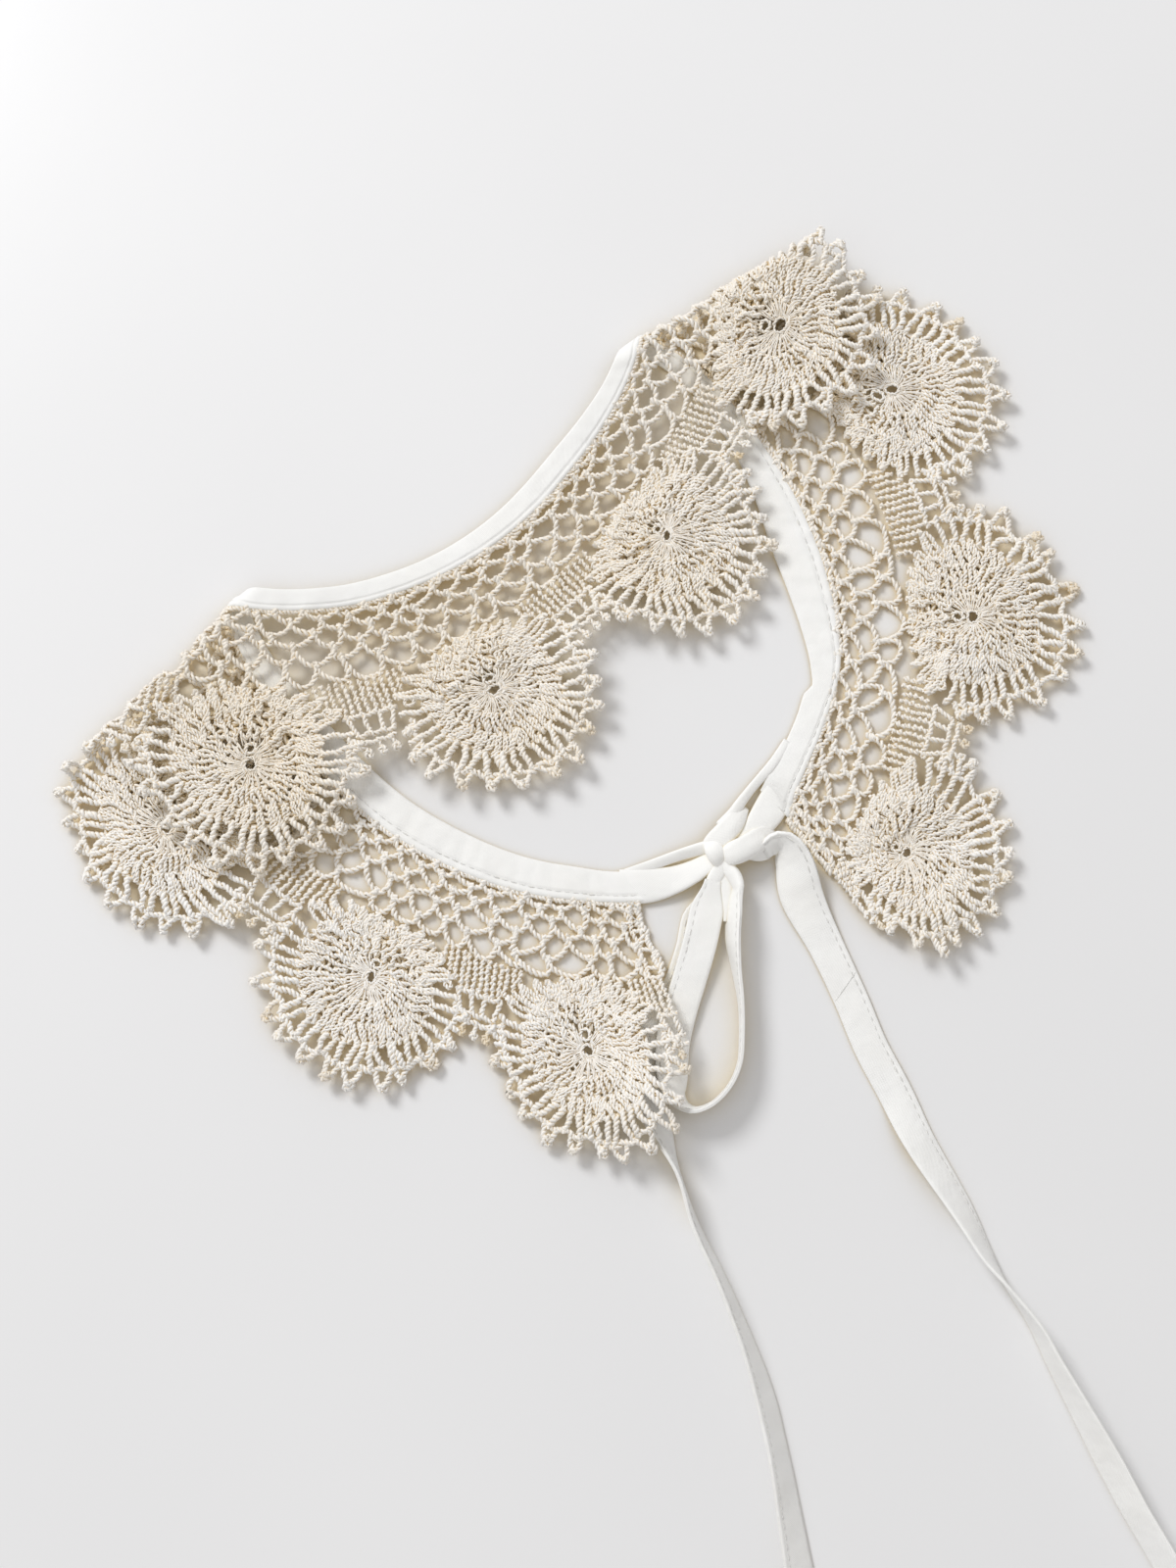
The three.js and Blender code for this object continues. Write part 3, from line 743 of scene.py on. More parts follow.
def thread_tree():
    """Bare paths in, two-ply thread out."""
    tree = bpy.data.node_groups.new("two-ply thread", "GeometryNodeTree")
    given = thread_inputs(tree)
    thick, pitch, start = (attribute(tree, name) for name in ("thick", "pitch", "start"))
    pitch = calculate(tree, "MULTIPLY", pitch, MM)

    curve = add_node(tree, "GeometryNodeMeshToCurve", {"Mesh": given["Geometry"]})
    step = calculate(tree, "MULTIPLY", pitch, given["Step"])
    even = add_node(tree, "GeometryNodeResampleCurve",
                    {"Curve": curve.outputs["Curve"], "Length": step}, mode="LENGTH")

    length = add_node(tree, "GeometryNodeSplineParameter").outputs["Length"]
    normal = add_node(tree, "GeometryNodeInputNormal").outputs["Normal"]
    tangent = add_node(tree, "GeometryNodeInputTangent").outputs["Tangent"]
    place = add_node(tree, "GeometryNodeInputPosition").outputs["Position"]
    side = calculate(tree, "CROSS_PRODUCT", tangent, normal, kind=VECTORS)
    turns = calculate(tree, "DIVIDE", length, pitch)
    angle = calculate(tree, "MULTIPLY_ADD", turns, 2 * math.pi, start)
    radius = calculate(tree, "MULTIPLY", thick, given["Twist radius"])

    section = add_node(tree, "GeometryNodeCurvePrimitiveCircle",
                       {"Resolution": given["Sides"], "Radius": given["Ply radius"]})
    both = add_node(tree, "GeometryNodeJoinGeometry")
    for ply in range(2):
        turned = calculate(tree, "ADD", angle, ply * math.pi)
        rise = calculate(tree, "MULTIPLY", calculate(tree, "COSINE", turned), radius)
        shift = calculate(tree, "MULTIPLY", calculate(tree, "SINE", turned), radius)
        offset = calculate(tree, "ADD", scale_vector(tree, normal, rise),
                           scale_vector(tree, side, shift), kind=VECTORS)
        wound_place = calculate(tree, "ADD", place, offset, kind=VECTORS)
        slub = add_node(tree, "ShaderNodeTexNoise", {"Vector": wound_place, "Scale": SLUB_SCALE})
        astray = calculate(tree, "SUBTRACT", slub.outputs["Color"], MIDDLE_GREY, kind=VECTORS)
        astray = scale_vector(tree, astray, given["Unevenness"])
        moved = calculate(tree, "ADD", offset, astray, kind=VECTORS)
        wound = add_node(tree, "GeometryNodeSetPosition",
                         {"Geometry": even.outputs["Curve"], "Offset": moved})
        swept = add_node(tree, "GeometryNodeCurveToMesh",
                         {"Curve": wound.outputs["Geometry"], "Scale": thick, "Fill Caps": True,
                          "Profile Curve": section.outputs["Curve"]})
        tree.links.new(swept.outputs["Mesh"], both.inputs["Geometry"])

    last = both
    for kind, inputs in (("GeometryNodeSetShadeSmooth", {}), ("GeometryNodeRealizeInstances", {}),
                         ("GeometryNodeSetMaterial", {"Material": given["Material"]}),
                         ("NodeGroupOutput", {})):
        last = add_node(tree, kind, {"Geometry": last.outputs["Geometry"], **inputs})
    return tree


THREAD_TREE = thread_tree()
print("the thread tree has", len(THREAD_TREE.nodes), "nodes")


# %% From charted stitches to a plain mesh
USUAL_PITCH = 2.6


def stitch(across, outward, lift=0.0, thick=1.0, pitch=USUAL_PITCH, tan=0.0):
    """One run of thread on a chart, in mm; its pitch is the length of one turn of the plies."""
    across, outward, lift = np.broadcast_arrays(np.asarray(across, float), outward, lift)
    return {"place": np.stack([across, outward, lift], -1), "thick": thick, "pitch": pitch,
            "tan": tan}


def spin(name, paths, stitches, material, sizes=None):
    """Twists threads along paths of points in mm, and leaves a plain mesh."""
    points = np.concatenate(paths) * MM
    counts = [len(path) for path in paths]
    ends = np.cumsum(counts) - 1
    first = np.setdiff1d(np.arange(len(points) - 1), ends)
    mesh = bpy.data.meshes.new(name + " paths")
    mesh.from_pydata(points.tolist(), np.stack([first, first + 1], -1).tolist(), [])
    rng = np.random.default_rng(len(points))
    columns = {key: [run[key] for run in stitches] for key in ("thick", "tan", "pitch")}
    columns["tone"] = rng.uniform(0, 1, len(paths))
    columns["start"] = rng.uniform(*ANY_TURN, len(paths))
    for column, values in columns.items():
        layer = mesh.attributes.new(column, "FLOAT", "POINT")
        spread = [np.broadcast_to(value, count) for value, count in zip(values, counts)]
        layer.data.foreach_set("value", np.concatenate(spread).astype(float))
    bare = put_in_scene(name + " paths", mesh)
    twist = bare.modifiers.new("thread", "NODES")
    twist.node_group = THREAD_TREE
    socket = {item.name: item.identifier for item in THREAD_TREE.interface.items_tree
              if item.in_out == "INPUT"}
    for size, value in {**THREAD_SIZES, **(sizes or {})}.items():
        twist[socket[size]] = value
    twist[socket["Sides"]] = THREAD_SIDES
    twist[socket["Material"]] = material
    ready = bare.evaluated_get(bpy.context.evaluated_depsgraph_get())
    plain = bpy.data.meshes.new_from_object(ready)
    plain.name = name
    bpy.data.objects.remove(bare)
    bpy.data.meshes.remove(mesh)
    return put_in_scene(name, plain)

# %% [markdown]
# ## Laying stitches on the collar
#
# A chart is flat, and the collar isn't: it is folded, and its scallops ruffle. So every stitch is
# first placed on the worked ring, and then each of its points is laid on the table by the tables
# above, and lifted along the cloth's face side. A soft ruffle is added that the tables leave out:
# crochet never lies quite flat, and its scallops are fuller than its neck. The back of this collar
# and the stitches near the neck are shaded, and that shade is painted in as a darker tan.

# %% Ruffles, painted shade and the laying of a stitch
RUFFLE = table(("along", "outward", "shift", "height"), [
    (1.9, 0.11, 0.4, 0.65),
    (3.3, -0.07, 2.1, 0.55),
    (5.1, 0.16, 4.0, 0.45),
    (8.7, 0.05, 5.2, 0.30),
])
# Painted shade as a darker tan, by repeats along the neck: the back half of the collar is shaded
# most.
BACK_SHADE_TAN = table(("at", "tan"), [
    (-1.0, 0.0), (2.7, 0.02), (3.5, 0.24), (4.5, 0.18), (6.0, 0.13), (7.2, 0.07), (8.2, 0.09),
    (9.2, 0.03), (11.0, 0.0),
])
# Painted shade as a darker tan on the stitches near the neck.
NECK_SIDE_SHADE_TAN = 0.12
RUFFLED = (18, 46)
THREAD_REST = 1.25
TURN_SHARPNESS = 4


def ruffle(at, out):
    """Low soft waves in the scallops, in mm, always upwards."""
    height = np.zeros_like(at)
    for along, outward, shift, size in zip(*RUFFLE.values()):
        height += size * (1 + np.sin(2 * np.pi * along * at / 3 + outward * out + shift))
    return height * smooth_step(*RUFFLED, out)


def lay_stitch(at, out, lift):
    """Lays points of a stitch on the table, with its raised side up on both halves of the fold."""
    side = face_side(at, out)
    upward = np.clip(side[:, 2:] * TURN_SHARPNESS, -1, 1)
    point = lay_down(at, out) + side * upward * lift[:, None]
    point[:, 2] = np.maximum(point[:, 2] + ruffle(at, out), THREAD_REST)
    return point


def near_medallion(index, across, outward):
    """A place near a medallion, across and outward from its centre, on the worked ring."""
    radius = NECK_RADIUS + MEDALLION_DEPTH + outward
    at = index + 0.5 + np.arctan2(across, radius) / REPEAT_ANGLE
    return at, np.hypot(across, radius) - NECK_RADIUS


def near_line(at, across, out):
    """A place across from a line that runs straight out from the neck, on the worked ring."""
    return at + across / (REPEAT_ANGLE * (NECK_RADIUS + out)), out


def lace_piece(name, node, stitches, place=lambda at, out: (at, out)):
    """Lays charted stitches on the table and spins thread along them, in place of a solid.

    place turns a chart's two numbers into repeats along the neck and mm out; a chart of the net
    has those already."""
    stitches, paths = list(stitches), []
    for run in stitches:
        at, out = place(run["place"][:, 0], run["place"][:, 1])
        # Painted shade: the back and the stitches near the neck get a darker tan.
        neck_shade = NECK_SIDE_SHADE_TAN * smooth_step(MEDALLION_DEPTH, YOKE_DEPTH, out)
        run["tan"] = np.maximum(run["tan"], read(BACK_SHADE_TAN, "tan", at) + neck_shade)
        paths.append(lay_stitch(at, out, run["place"][:, 2]))
    piece = spin(name, paths, stitches, crochet_thread)
    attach(piece, "root")
    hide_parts(node)
    piece.data.calc_loop_triangles()
    print(name, "has", len(stitches), "stitches and", len(piece.data.loop_triangles), "triangles")
    return piece

# %% [markdown]
# ## The net yoke
#
# The yoke is five rows of chain arches, thirteen to two repeats, each hung from the middle of the
# arch above it. The first rows are tight against the tape and the last are open. An arch drops
# almost straight from its two ends and is flat below, so its shape is a squared half circle.
#
# The fold makes five stretches of it. In each, the open rows are the cloth, and the dense part,
# which is the row in the tape, the tight joins and the front edges, is a heading worked onto it.

# %% Chart the arches
ARCHES_IN_ALL = 65
ARCHES = ARCHES_IN_ALL / REPEATS
NET_ROWS = 5
NET_TOP = 0.9
ARCH_STEPS, ARCH_SQUARENESS, ARCH_DROP, ARCH_PITCH = 17, 0.85, 1.03, 3.1
NET_CHAIN, CHAIN_KNOT, KNOT_PITCH = 1.08, 1.25, 1.8
JOIN_LEAN, JOIN_UP, JOIN_DOWN, JOIN_LIFT = 0.004, 0.9, 1.1, (0.35, 0.3)
TOP_CHAIN_WAVE, TOP_CHAIN_RATE = 0.25, 95
STRAY_ALONG, STRAY_DOWN, DOWN_MORE = 0.022, 0.07, 2.2
ROW_PULL = 1.35
TIGHT_PLACES = table(("at", "width", "pull"), [(8.3, 0.7, 0.8), (4.8, 0.9, 0.2)])
LACE_END = REPEATS - 0.05
NET_SEED = 12
rng = np.random.default_rng(NET_SEED)
stray = rng.normal(0, 1, (NET_ROWS + 1, ARCHES_IN_ALL + 2, 2)) * [STRAY_ALONG, STRAY_DOWN]


def net_out(at, row):
    """How far out a row of the net lies: rows are tight near the tape, more so in places."""
    gathered = sum(pull * bell(at, *place) for *place, pull in zip(*TIGHT_PLACES.values()))
    return NET_TOP + (YOKE_DEPTH - NET_TOP) * (row / NET_ROWS) ** (ROW_PULL + gathered)


def arch_start(row, number):
    """Where an arch begins along the neck; every second row is half an arch further."""
    return (number + 0.5 * (row % 2)) / ARCHES


def arch(row, number):
    """One chain arch, with its ends and its middle a little astray."""
    turn = np.linspace(0, np.pi, ARCH_STEPS)
    u = (1 - np.cos(turn)) / 2
    drop = np.sin(turn) ** ARCH_SQUARENESS
    left, right = stray[row, number], stray[row, number + 1]
    middle = stray[row + 1, number + row % 2]
    blend = drop[:, None] ** 2
    off = (left * (1 - u[:, None]) + right * u[:, None]) * (1 - blend) + middle * blend
    at = arch_start(row, number) + u / ARCHES + off[:, 0]
    reach = row + drop * ARCH_DROP + off[:, 1] * DOWN_MORE
    out = net_out(at, np.clip(reach, 0, NET_ROWS + 0.1))
    wave = 0.25 * np.cos(2 * np.pi * u) * (0.6 if row % 2 else 1.0)
    return stitch(at, out, wave, NET_CHAIN + 0.4 * left[1], ARCH_PITCH)


def join(row, number):
    """The short tight stitch that ties an arch to the one above it."""
    at = arch_start(row, number) + stray[row, number, 0]
    out = net_out(at, max(row + stray[row, number, 1] * DOWN_MORE, 0))
    return stitch([at, at + JOIN_LEAN], [out - JOIN_UP, out + JOIN_DOWN], JOIN_LIFT, CHAIN_KNOT,
                  KNOT_PITCH)


def net(start, end):
    """The open arches between two places along the neck, and the heading with all the joins."""
    open_rows, heading = [], []
    for row in range(NET_ROWS):
        for number in range(ARCHES_IN_ALL):
            middle = arch_start(row, number) + 0.5 / ARCHES
            if start <= middle < min(end, LACE_END):
                (open_rows if row else heading).append(arch(row, number))
                heading.append(join(row, number))
    at = np.clip(np.arange(start, end + 0.01, 0.02), start, end)
    out = NET_TOP + TOP_CHAIN_WAVE * np.sin(at * TOP_CHAIN_RATE)
    heading.append(stitch(at, out, lift=0.1, pitch=2.2))
    return open_rows, heading


# %% Chart the ends of the net
END_COLUMNS = table(("across", "thick", "pitch"), [(0.9, 1.1, 2.0), (4.4, 0.85, 2.2)])
RUNGS, RUNG_STEPS, COLUMN_STEPS = 4, 5, 26


def net_end(at, inward):
    """The fat selvedge at an end of the lace, and the ladder inside it."""
    out = np.linspace(0.5, YOKE_DEPTH, COLUMN_STEPS)
    for across, thick, pitch in zip(*END_COLUMNS.values()):
        wave = across + 0.35 * np.sin(out * 1.1 + across)
        place, _ = near_line(at, inward * wave, out)
        yield stitch(place, out, lift=0.2, thick=thick, pitch=pitch)
    inner, outer = END_COLUMNS["across"]
    for rung in range(RUNGS):
        level = (rung + 0.6) * YOKE_DEPTH / RUNGS
        across = np.linspace(inner, outer, RUNG_STEPS)
        place, _ = near_line(at, inward * across, level)
        yield stitch(place, level, lift=0.3, thick=0.95, pitch=2.2)


# %% Work the net
NET = {"yoke_front_left": (0, 2.5), "yoke_left_fold": (2.5, 4), "yoke_back": (4, 6),
       "yoke_right_fold": (6, 7.75), "yoke_front_right": (7.75, 10)}
lace, strip, carried = {}, {}, {}
for node, (start, end) in NET.items():
    open_rows, heading = net(start, end)
    if start == 0:
        heading += net_end(0, 1)
    if end == REPEATS:
        heading += net_end(REPEATS, -1)
    name = node.replace("yoke", "net")
    lace[node] = lace_piece(name, node, open_rows)
    carried[node] = [lace_piece(f"{name}_heading", node, heading)]
    middle_arc = (end - start) * REPEAT_ANGLE * (NECK_RADIUS + YOKE_DEPTH / 2)
    strip[node] = (YOKE_DEPTH * MM, middle_arc * MM)

# %% [markdown]
# ## The fan medallions
#
# Each medallion is worked out from a small ring: long smooth stitches first, then two rows of
# close stitches that lean opposite ways, a row of thick open posts, and an edging of short chain
# arms that meet in lumpy little knots, the picots. The chains that the rows are worked into lie
# underneath and close the gaps. On the side towards the neck the rows go on all round, and the
# last stitches curl over each other and gather where they meet the net. Old crochet is never
# regular, so every stitch gets a small lean, wave and lift of its own.
#
# A medallion is thicker than a cloth: it has a ground, which is the long stitches and the chains,
# and the raised rows stand on it. So it is two pieces.

# %% Chart one medallion
HUB, HUB_ROW, FIRST_ROW, SECOND_ROW, POST_ROW = 1.8, 7.6, 12.9, 18.6, 24.6
SECOND_HOLE = -4.3
RIB_STEP = 8
RIB_ANGLES = [(number + 0.5) * RIB_STEP - 180 for number in range(round(360 / RIB_STEP))]
OPEN_HALF, FAN_EDGE, PICOTS = 76, 104, 13
SHOULDER = table(("angle", "reach"), [
    (84, 29.2), (101, 27.9), (118, 26.4), (136.5, 24.0), (158, 21.3), (180, 19.7),
])
CLOSE_ROWS = table(("inner", "outer", "slant", "thick", "apart"), [
    (HUB_ROW - 0.5, FIRST_ROW + 0.4, 5.5, 0.80, 0.0),
    (FIRST_ROW - 0.4, SECOND_ROW + 0.5, -5.0, 0.76, 0.5),
])
HUB_CHAINS, HUB_TURN = (3.0, 4.4, 5.8, 7.4), 150
UNDER_CHAINS = (9.4, 11.1, 12.8, 14.5, 16.2, 17.9)
RAY_STEP, RING_STEP, SMALL_RING_STEPS, ARM_STEPS = 0.7, 0.8, 10, 8
TIGHT_PITCH, LONG_PITCH = 2.4, 6.0
TURN_STRAY, ROW_STRAY, THICK_STRAY, UNROUND = 0.8, 0.35, 0.05, 0.022
RIB_START, HOLE_FROM, HOLE_REACH = 2.0, 158, 5.6
CALM_UNTIL, WILDER = 112, 2.2
LONG_BARS = (80, 88.5, 97.5, 107)
PICOT_TIP, LOW_FROM, LOWER = 29.0, 85, 1.2
GROUPS, CURLS = (121, 133, 145, 156.5, 168, 180, 192, 203.5, 215, 227, 239), 3


def polar(radius, angle):
    """Across and outward from the centre, at an angle in degrees from straight out."""
    return radius * np.sin(np.radians(angle)), radius * np.cos(np.radians(angle))


def reach_at(angle):
    """How far a medallion reaches from its centre, at an angle from straight out."""
    return np.interp(angle, *SHOULDER.values())


def ray(inner, outer, angle, slant, lift, thick, pitch=USUAL_PITCH, bow=0.0, wave=0.0,
        shift=0.0, aside=0.0):
    """A stitch that runs outward, leans by slant degrees, bows up and waves, and swings aside."""
    t = np.linspace(0, 1, max(4, round((outer - inner) / RAY_STEP)))
    radius = inner + (outer - inner) * t
    swing = wave * np.sin(radius * 1.5 + shift) + aside * np.sin(np.pi * t) ** 0.6
    sway = np.degrees(swing / radius)
    across, outward = polar(radius, angle + slant * (t - 0.5) + sway)
    return stitch(across, outward, lift + bow * np.sin(np.pi * t), thick, pitch)


def ring(radius, start, end, lift, thick, pitch=USUAL_PITCH, waves=0, depth=0.0):
    """A chain round the centre, which may scallop."""
    steps = max(8, round(abs(end - start) * np.radians(radius) / RING_STEP))
    angle = np.linspace(start, end, steps)
    wavy = radius + depth * np.sin(np.radians(angle) * waves)
    across, outward = polar(wavy, angle)
    return stitch(across, outward, lift, thick, pitch)


def small_ring(across, outward, radius, lift, thick, tan=0.0):
    """A stitch that closes on itself: a hole's rim, a curl or a knot."""
    turn = np.linspace(0, 2 * np.pi, SMALL_RING_STEPS)
    across, outward = across + radius * np.sin(turn), outward + radius * np.cos(turn)
    return stitch(across, outward, lift, thick, TIGHT_PITCH, tan)


def long_stitches(rng):
    """The ground: a ring, the chains round it, and long smooth stitches that fan out of it."""
    yield ring(HUB, 0, 360, lift=0.1, thick=0.6)
    yield small_ring(0, SECOND_HOLE, 1.5, lift=0.3, thick=0.7)
    for radius in HUB_CHAINS:
        yield ring(radius, -HUB_TURN, HUB_TURN, lift=-0.08, thick=0.85, pitch=5.0)
    for radius in UNDER_CHAINS:
        yield ring(radius, -180, 180, lift=-0.3, thick=1.1, pitch=LONG_PITCH)
    t = np.linspace(0, 1, ARM_STEPS)
    for rib in RIB_ANGLES:
        angle = rib + rng.normal(0, TURN_STRAY)
        inner = HOLE_REACH if abs(angle) > HOLE_FROM else RIB_START
        across, outward = polar(inner + (HUB_ROW + 0.2 - inner) * t, angle + rng.normal(0, 3) * t)
        swelling = 0.15 + 0.55 * np.sin(np.pi * t ** 0.8)
        yield stitch(across, outward, swelling, thick=0.2 + 0.36 * t, pitch=LONG_PITCH)


def close_rows(rng):
    """Two rows of close stitches, one to a long stitch; the second is of pairs of strands."""
    for inner, outer, slant, thick, apart in zip(*CLOSE_ROWS.values()):
        strands = (-1, 1) if apart else (0,)
        for angle in RIB_ANGLES:
            wild = WILDER if abs(angle) > CALM_UNTIL else 1.0
            lean = slant + wild * rng.normal(0, 2.0)
            height = 0.2 + 0.22 * wild * abs(rng.normal())
            start, end = inner + rng.normal(0, ROW_STRAY), outer + rng.normal(0, ROW_STRAY)
            turn = angle + wild * rng.normal(0, TURN_STRAY)
            shift, strand = rng.uniform(*ANY_TURN), thick + rng.normal(0, THICK_STRAY)
            for side in strands:
                yield ray(start, end, turn, lean, height, strand, pitch=TIGHT_PITCH + 0.2 * side,
                          bow=0.5, wave=0.28 * wild, shift=shift, aside=side * apart)


def open_posts(rng):
    """The open row of thick posts, each with a lumpy head, and the long bars at its two ends."""
    for angle in np.arange(-OPEN_HALF + 4, OPEN_HALF, RIB_STEP):
        turn = angle + rng.normal(0, 1.1)
        lean = rng.normal(0, 4.0)
        yield ray(SECOND_ROW - 0.6, POST_ROW, turn, lean, lift=0.3 + 0.2 * abs(rng.normal()),
                  thick=1.22 + rng.normal(0, 0.07), pitch=2.5, bow=0.45, wave=0.25,
                  shift=rng.uniform(*ANY_TURN))
        head = polar(POST_ROW + rng.normal(0, ROW_STRAY), turn + lean / 2)
        yield small_ring(*head, 0.45, lift=0.7, thick=0.85)
    for angle in LONG_BARS:
        reach = reach_at(angle) - 1.2
        for side in (-1, 1):
            yield ray(SECOND_ROW - 0.4, reach, side * angle, side * rng.normal(1.5, 1.5),
                      lift=0.35, thick=1.1, bow=0.3, wave=0.25, shift=angle)


def edging(rng):
    """The chain under the picots, and the picots: two short arms that meet in a knot."""
    yield ring(POST_ROW + 0.2, -FAN_EDGE, FAN_EDGE, lift=0.3, thick=1.08, pitch=TIGHT_PITCH,
               waves=2 * PICOTS, depth=0.55)
    t = np.linspace(0, 1, ARM_STEPS)
    for number in range(PICOTS):
        angle = (number / (PICOTS - 1) - 0.5) * 2 * (FAN_EDGE - 6) + rng.normal(0, 1.5)
        tip = PICOT_TIP + rng.normal(0, 0.55) - (abs(angle) > LOW_FROM) * LOWER
        tan = float(np.clip(rng.normal(0.0, 0.3), 0, 0.7))
        reach = POST_ROW + (tip - 0.7 - POST_ROW) * np.sin(np.pi / 2 * t)
        for side in (-1, 1):
            turn = angle + side * (4.6 - 3.4 * t ** 1.1) * (1 + 0.14 * rng.normal())
            yield stitch(*polar(reach, turn), lift=0.2 + 0.3 * t, thick=1.08, pitch=2.3,
                         tan=tan * 0.5)
        knot = rng.uniform(0.75, 1.1)
        top = polar(tip, angle + rng.normal(0, TURN_STRAY))
        yield small_ring(*top, knot, lift=0.4, thick=1.1, tan=tan)
        yield small_ring(*polar(tip - 0.4, angle), 0.5, lift=1.0, thick=1.1, tan=tan)


def neck_side(rng):
    """Towards the neck: curls, crossed stitches, and groups that gather where they meet the net."""
    t = np.linspace(0, 1, ARM_STEPS + 1)
    for centre in GROUPS:
        reach = reach_at(abs((centre + 180) % 360 - 180)) - 0.6
        radius = SECOND_ROW - 2.2 + (reach - SECOND_ROW + 2.2) * t
        for spoke in (-1, 0, 1):
            spread = spoke * (4.2 * (1 - t) + 1.6 * t + 1.2 * np.sin(np.pi * t))
            across, outward = polar(radius, centre + spread + rng.normal(0, TURN_STRAY))
            height = 0.5 + 0.4 * np.sin(np.pi * t) + 0.2 * rng.normal()
            yield stitch(across, outward, height, thick=0.85, pitch=2.3)
        yield ray(reach - 1.6, reach + 0.6, centre, 0, lift=0.7, thick=1.2, pitch=2.2)
        for _ in range(CURLS):
            away = rng.uniform(FIRST_ROW, max(reach - 1.5, FIRST_ROW + 3))
            curl = polar(away, centre + rng.uniform(-6, 6))
            yield small_ring(*curl, rng.uniform(0.8, 1.3), lift=rng.uniform(0.6, 1.2), thick=0.72)


# %% Work the medallions
def warp_for(rng):
    """No two medallions are alike: each is a little turned, pulled and unround."""
    pull = rng.normal(0, UNROUND, 3)
    turn = rng.uniform(*ANY_TURN, 3)

    def warp(across, outward):
        angle = np.arctan2(across, outward)
        stretch = 1 + sum(p * np.sin(lobes * angle + t)
                          for lobes, p, t in zip((1, 2, 3), pull, turn))
        sway = 0.8 * np.sin(0.22 * across + turn[0]) * np.sin(0.19 * outward + turn[1])
        sway = sway + 0.4 * np.sin(0.5 * across + turn[2]) * np.sin(0.55 * outward + turn[0])
        return across * stretch + sway, outward * stretch + sway

    return warp


MEDALLION_SEED = 100
for index in range(REPEATS):
    rng = np.random.default_rng(MEDALLION_SEED + index)
    warp = warp_for(rng)
    node = f"medallion_{index + 1:02d}"

    def place(across, outward):
        return near_medallion(index, *warp(across, outward))

    lace[node] = lace_piece(f"fan_{node}", node, long_stitches(rng), place)
    raised = [run for rows in (close_rows, open_posts, edging, neck_side) for run in rows(rng)]
    upper = lace_piece(f"fan_{node}_stitches", node, raised, place)

# %% [markdown]
# ## The wedges between the medallions
#
# Between two medallions there is a block of close linen stitch, which reads as upright ribs of
# bumps set like bricks. Under it are a few open posts and a short edging, and at the two ends of
# the lace there is half a block.

# %% Chart a wedge
WEDGE_TOP, WEDGE_BLOCK, WEDGE_POSTS, WEDGE_EDGE = 22.6, 33.6, 39.6, 44.0
RIBS, RIB_SPACING, BUMP = range(-7, 8), 1.9, 1.7
SHORTEST_RIB = 12
WEDGE_POST_PLACES = (-6.3, -2.1, 2.1, 6.3)
WEDGE_PICOTS = (-3.6, 0.2, 3.8)
WEDGE_HEM = WEDGE_POSTS + 2.3


def wedge_half_width(out):
    """Half of the room between two medallions, in mm, at a distance out."""
    across, outward = polar(SHOULDER["reach"], SHOULDER["angle"])
    at, level = near_medallion(0, across, outward)
    half = (1 - at) * REPEAT_ANGLE * (NECK_RADIUS + level)
    return np.interp(out, level[::-1], half[::-1])


def linen_block(rng, left, right):
    """Ribs of linen stitch, each as long as the room between the medallions lets it be."""
    for rib in RIBS:
        across = rib * RIB_SPACING
        out = np.arange(WEDGE_TOP, WEDGE_BLOCK, BUMP / 6)
        out = out[wedge_half_width(out) > abs(across) - 0.6]
        if len(out) < SHORTEST_RIB or not left <= across <= right:
            continue
        wave = across + 0.15 * np.sin(out * 0.8 + rib) + rng.normal(0, 0.08)
        height = 0.35 + rng.normal(0, 0.08)
        knots = 0.82 + 0.4 * np.cos(2 * np.pi * (out / BUMP + 0.5 * (rib % 2)))
        yield stitch(wave, out, height, thick=knots, pitch=1.75)


def wedge_edging(rng, left, right):
    """The posts under the block, and the chain and picots that end the wedge."""
    out = np.linspace(WEDGE_BLOCK, WEDGE_POSTS, 7)
    for across in WEDGE_POST_PLACES:
        if left <= across <= right:
            lean = across * (1 - 0.04 * (out - WEDGE_BLOCK)) + rng.normal(0, 0.3)
            yield stitch(lean, out, lift=0.25, thick=0.95)
    width = float(wedge_half_width(WEDGE_BLOCK))
    for level, half in ((WEDGE_BLOCK, width + 0.5), (WEDGE_POSTS, 5.2), (WEDGE_HEM, 4.6)):
        start, end = max(left, -half), min(right, half)
        across = np.linspace(start, end, max(4, round((end - start) / 0.9)))
        wave = level + 0.3 * np.sin(across * 1.7 + level)
        yield stitch(across, wave, lift=0.3, thick=0.95, pitch=TIGHT_PITCH)
    for across in WEDGE_PICOTS:
        if left <= across <= right:
            tan = float(np.clip(rng.normal(0.3, 0.4), 0, 1))
            yield stitch([across - 0.8, across], [WEDGE_POSTS + 1.6, WEDGE_EDGE], lift=0.2,
                         thick=0.9, pitch=TIGHT_PITCH, tan=tan * 0.6)
            yield small_ring(across, WEDGE_EDGE + 0.9, 0.8, lift=0.25, thick=0.95, tan=tan)


# %% Work the wedges
WIDE, HALF_FROM = 99, 0.8
WEDGE_SEED = 200
WEDGES = {f"wedge_{number:02d}": (number, -WIDE, WIDE) for number in range(1, REPEATS)}
WEDGES["end_band_left"] = (0, HALF_FROM, WIDE)
WEDGES["end_band_right"] = (REPEATS, -WIDE, -HALF_FROM)
for node, (at, left, right) in WEDGES.items():
    rng = np.random.default_rng(WEDGE_SEED + at)
    stitches = [*linen_block(rng, left, right), *wedge_edging(rng, left, right)]
    lace[node] = lace_piece(f"linen_{node}", node, stitches,
                            lambda across, out: near_line(at, across, out))
    below = next(name for name, (start, end) in NET.items() if start <= at <= end)
    carried[below].append(lace[node])

# %% [markdown]
# ## The net as one cloth
#
# The wedges are worked into the net's last row, and nothing else holds them, so they go with the
# stretch of net that they hang from. Its flat size is its depth from the tape to the medallions,
# by its length half way out. Both are what a worker would measure with the collar opened out.

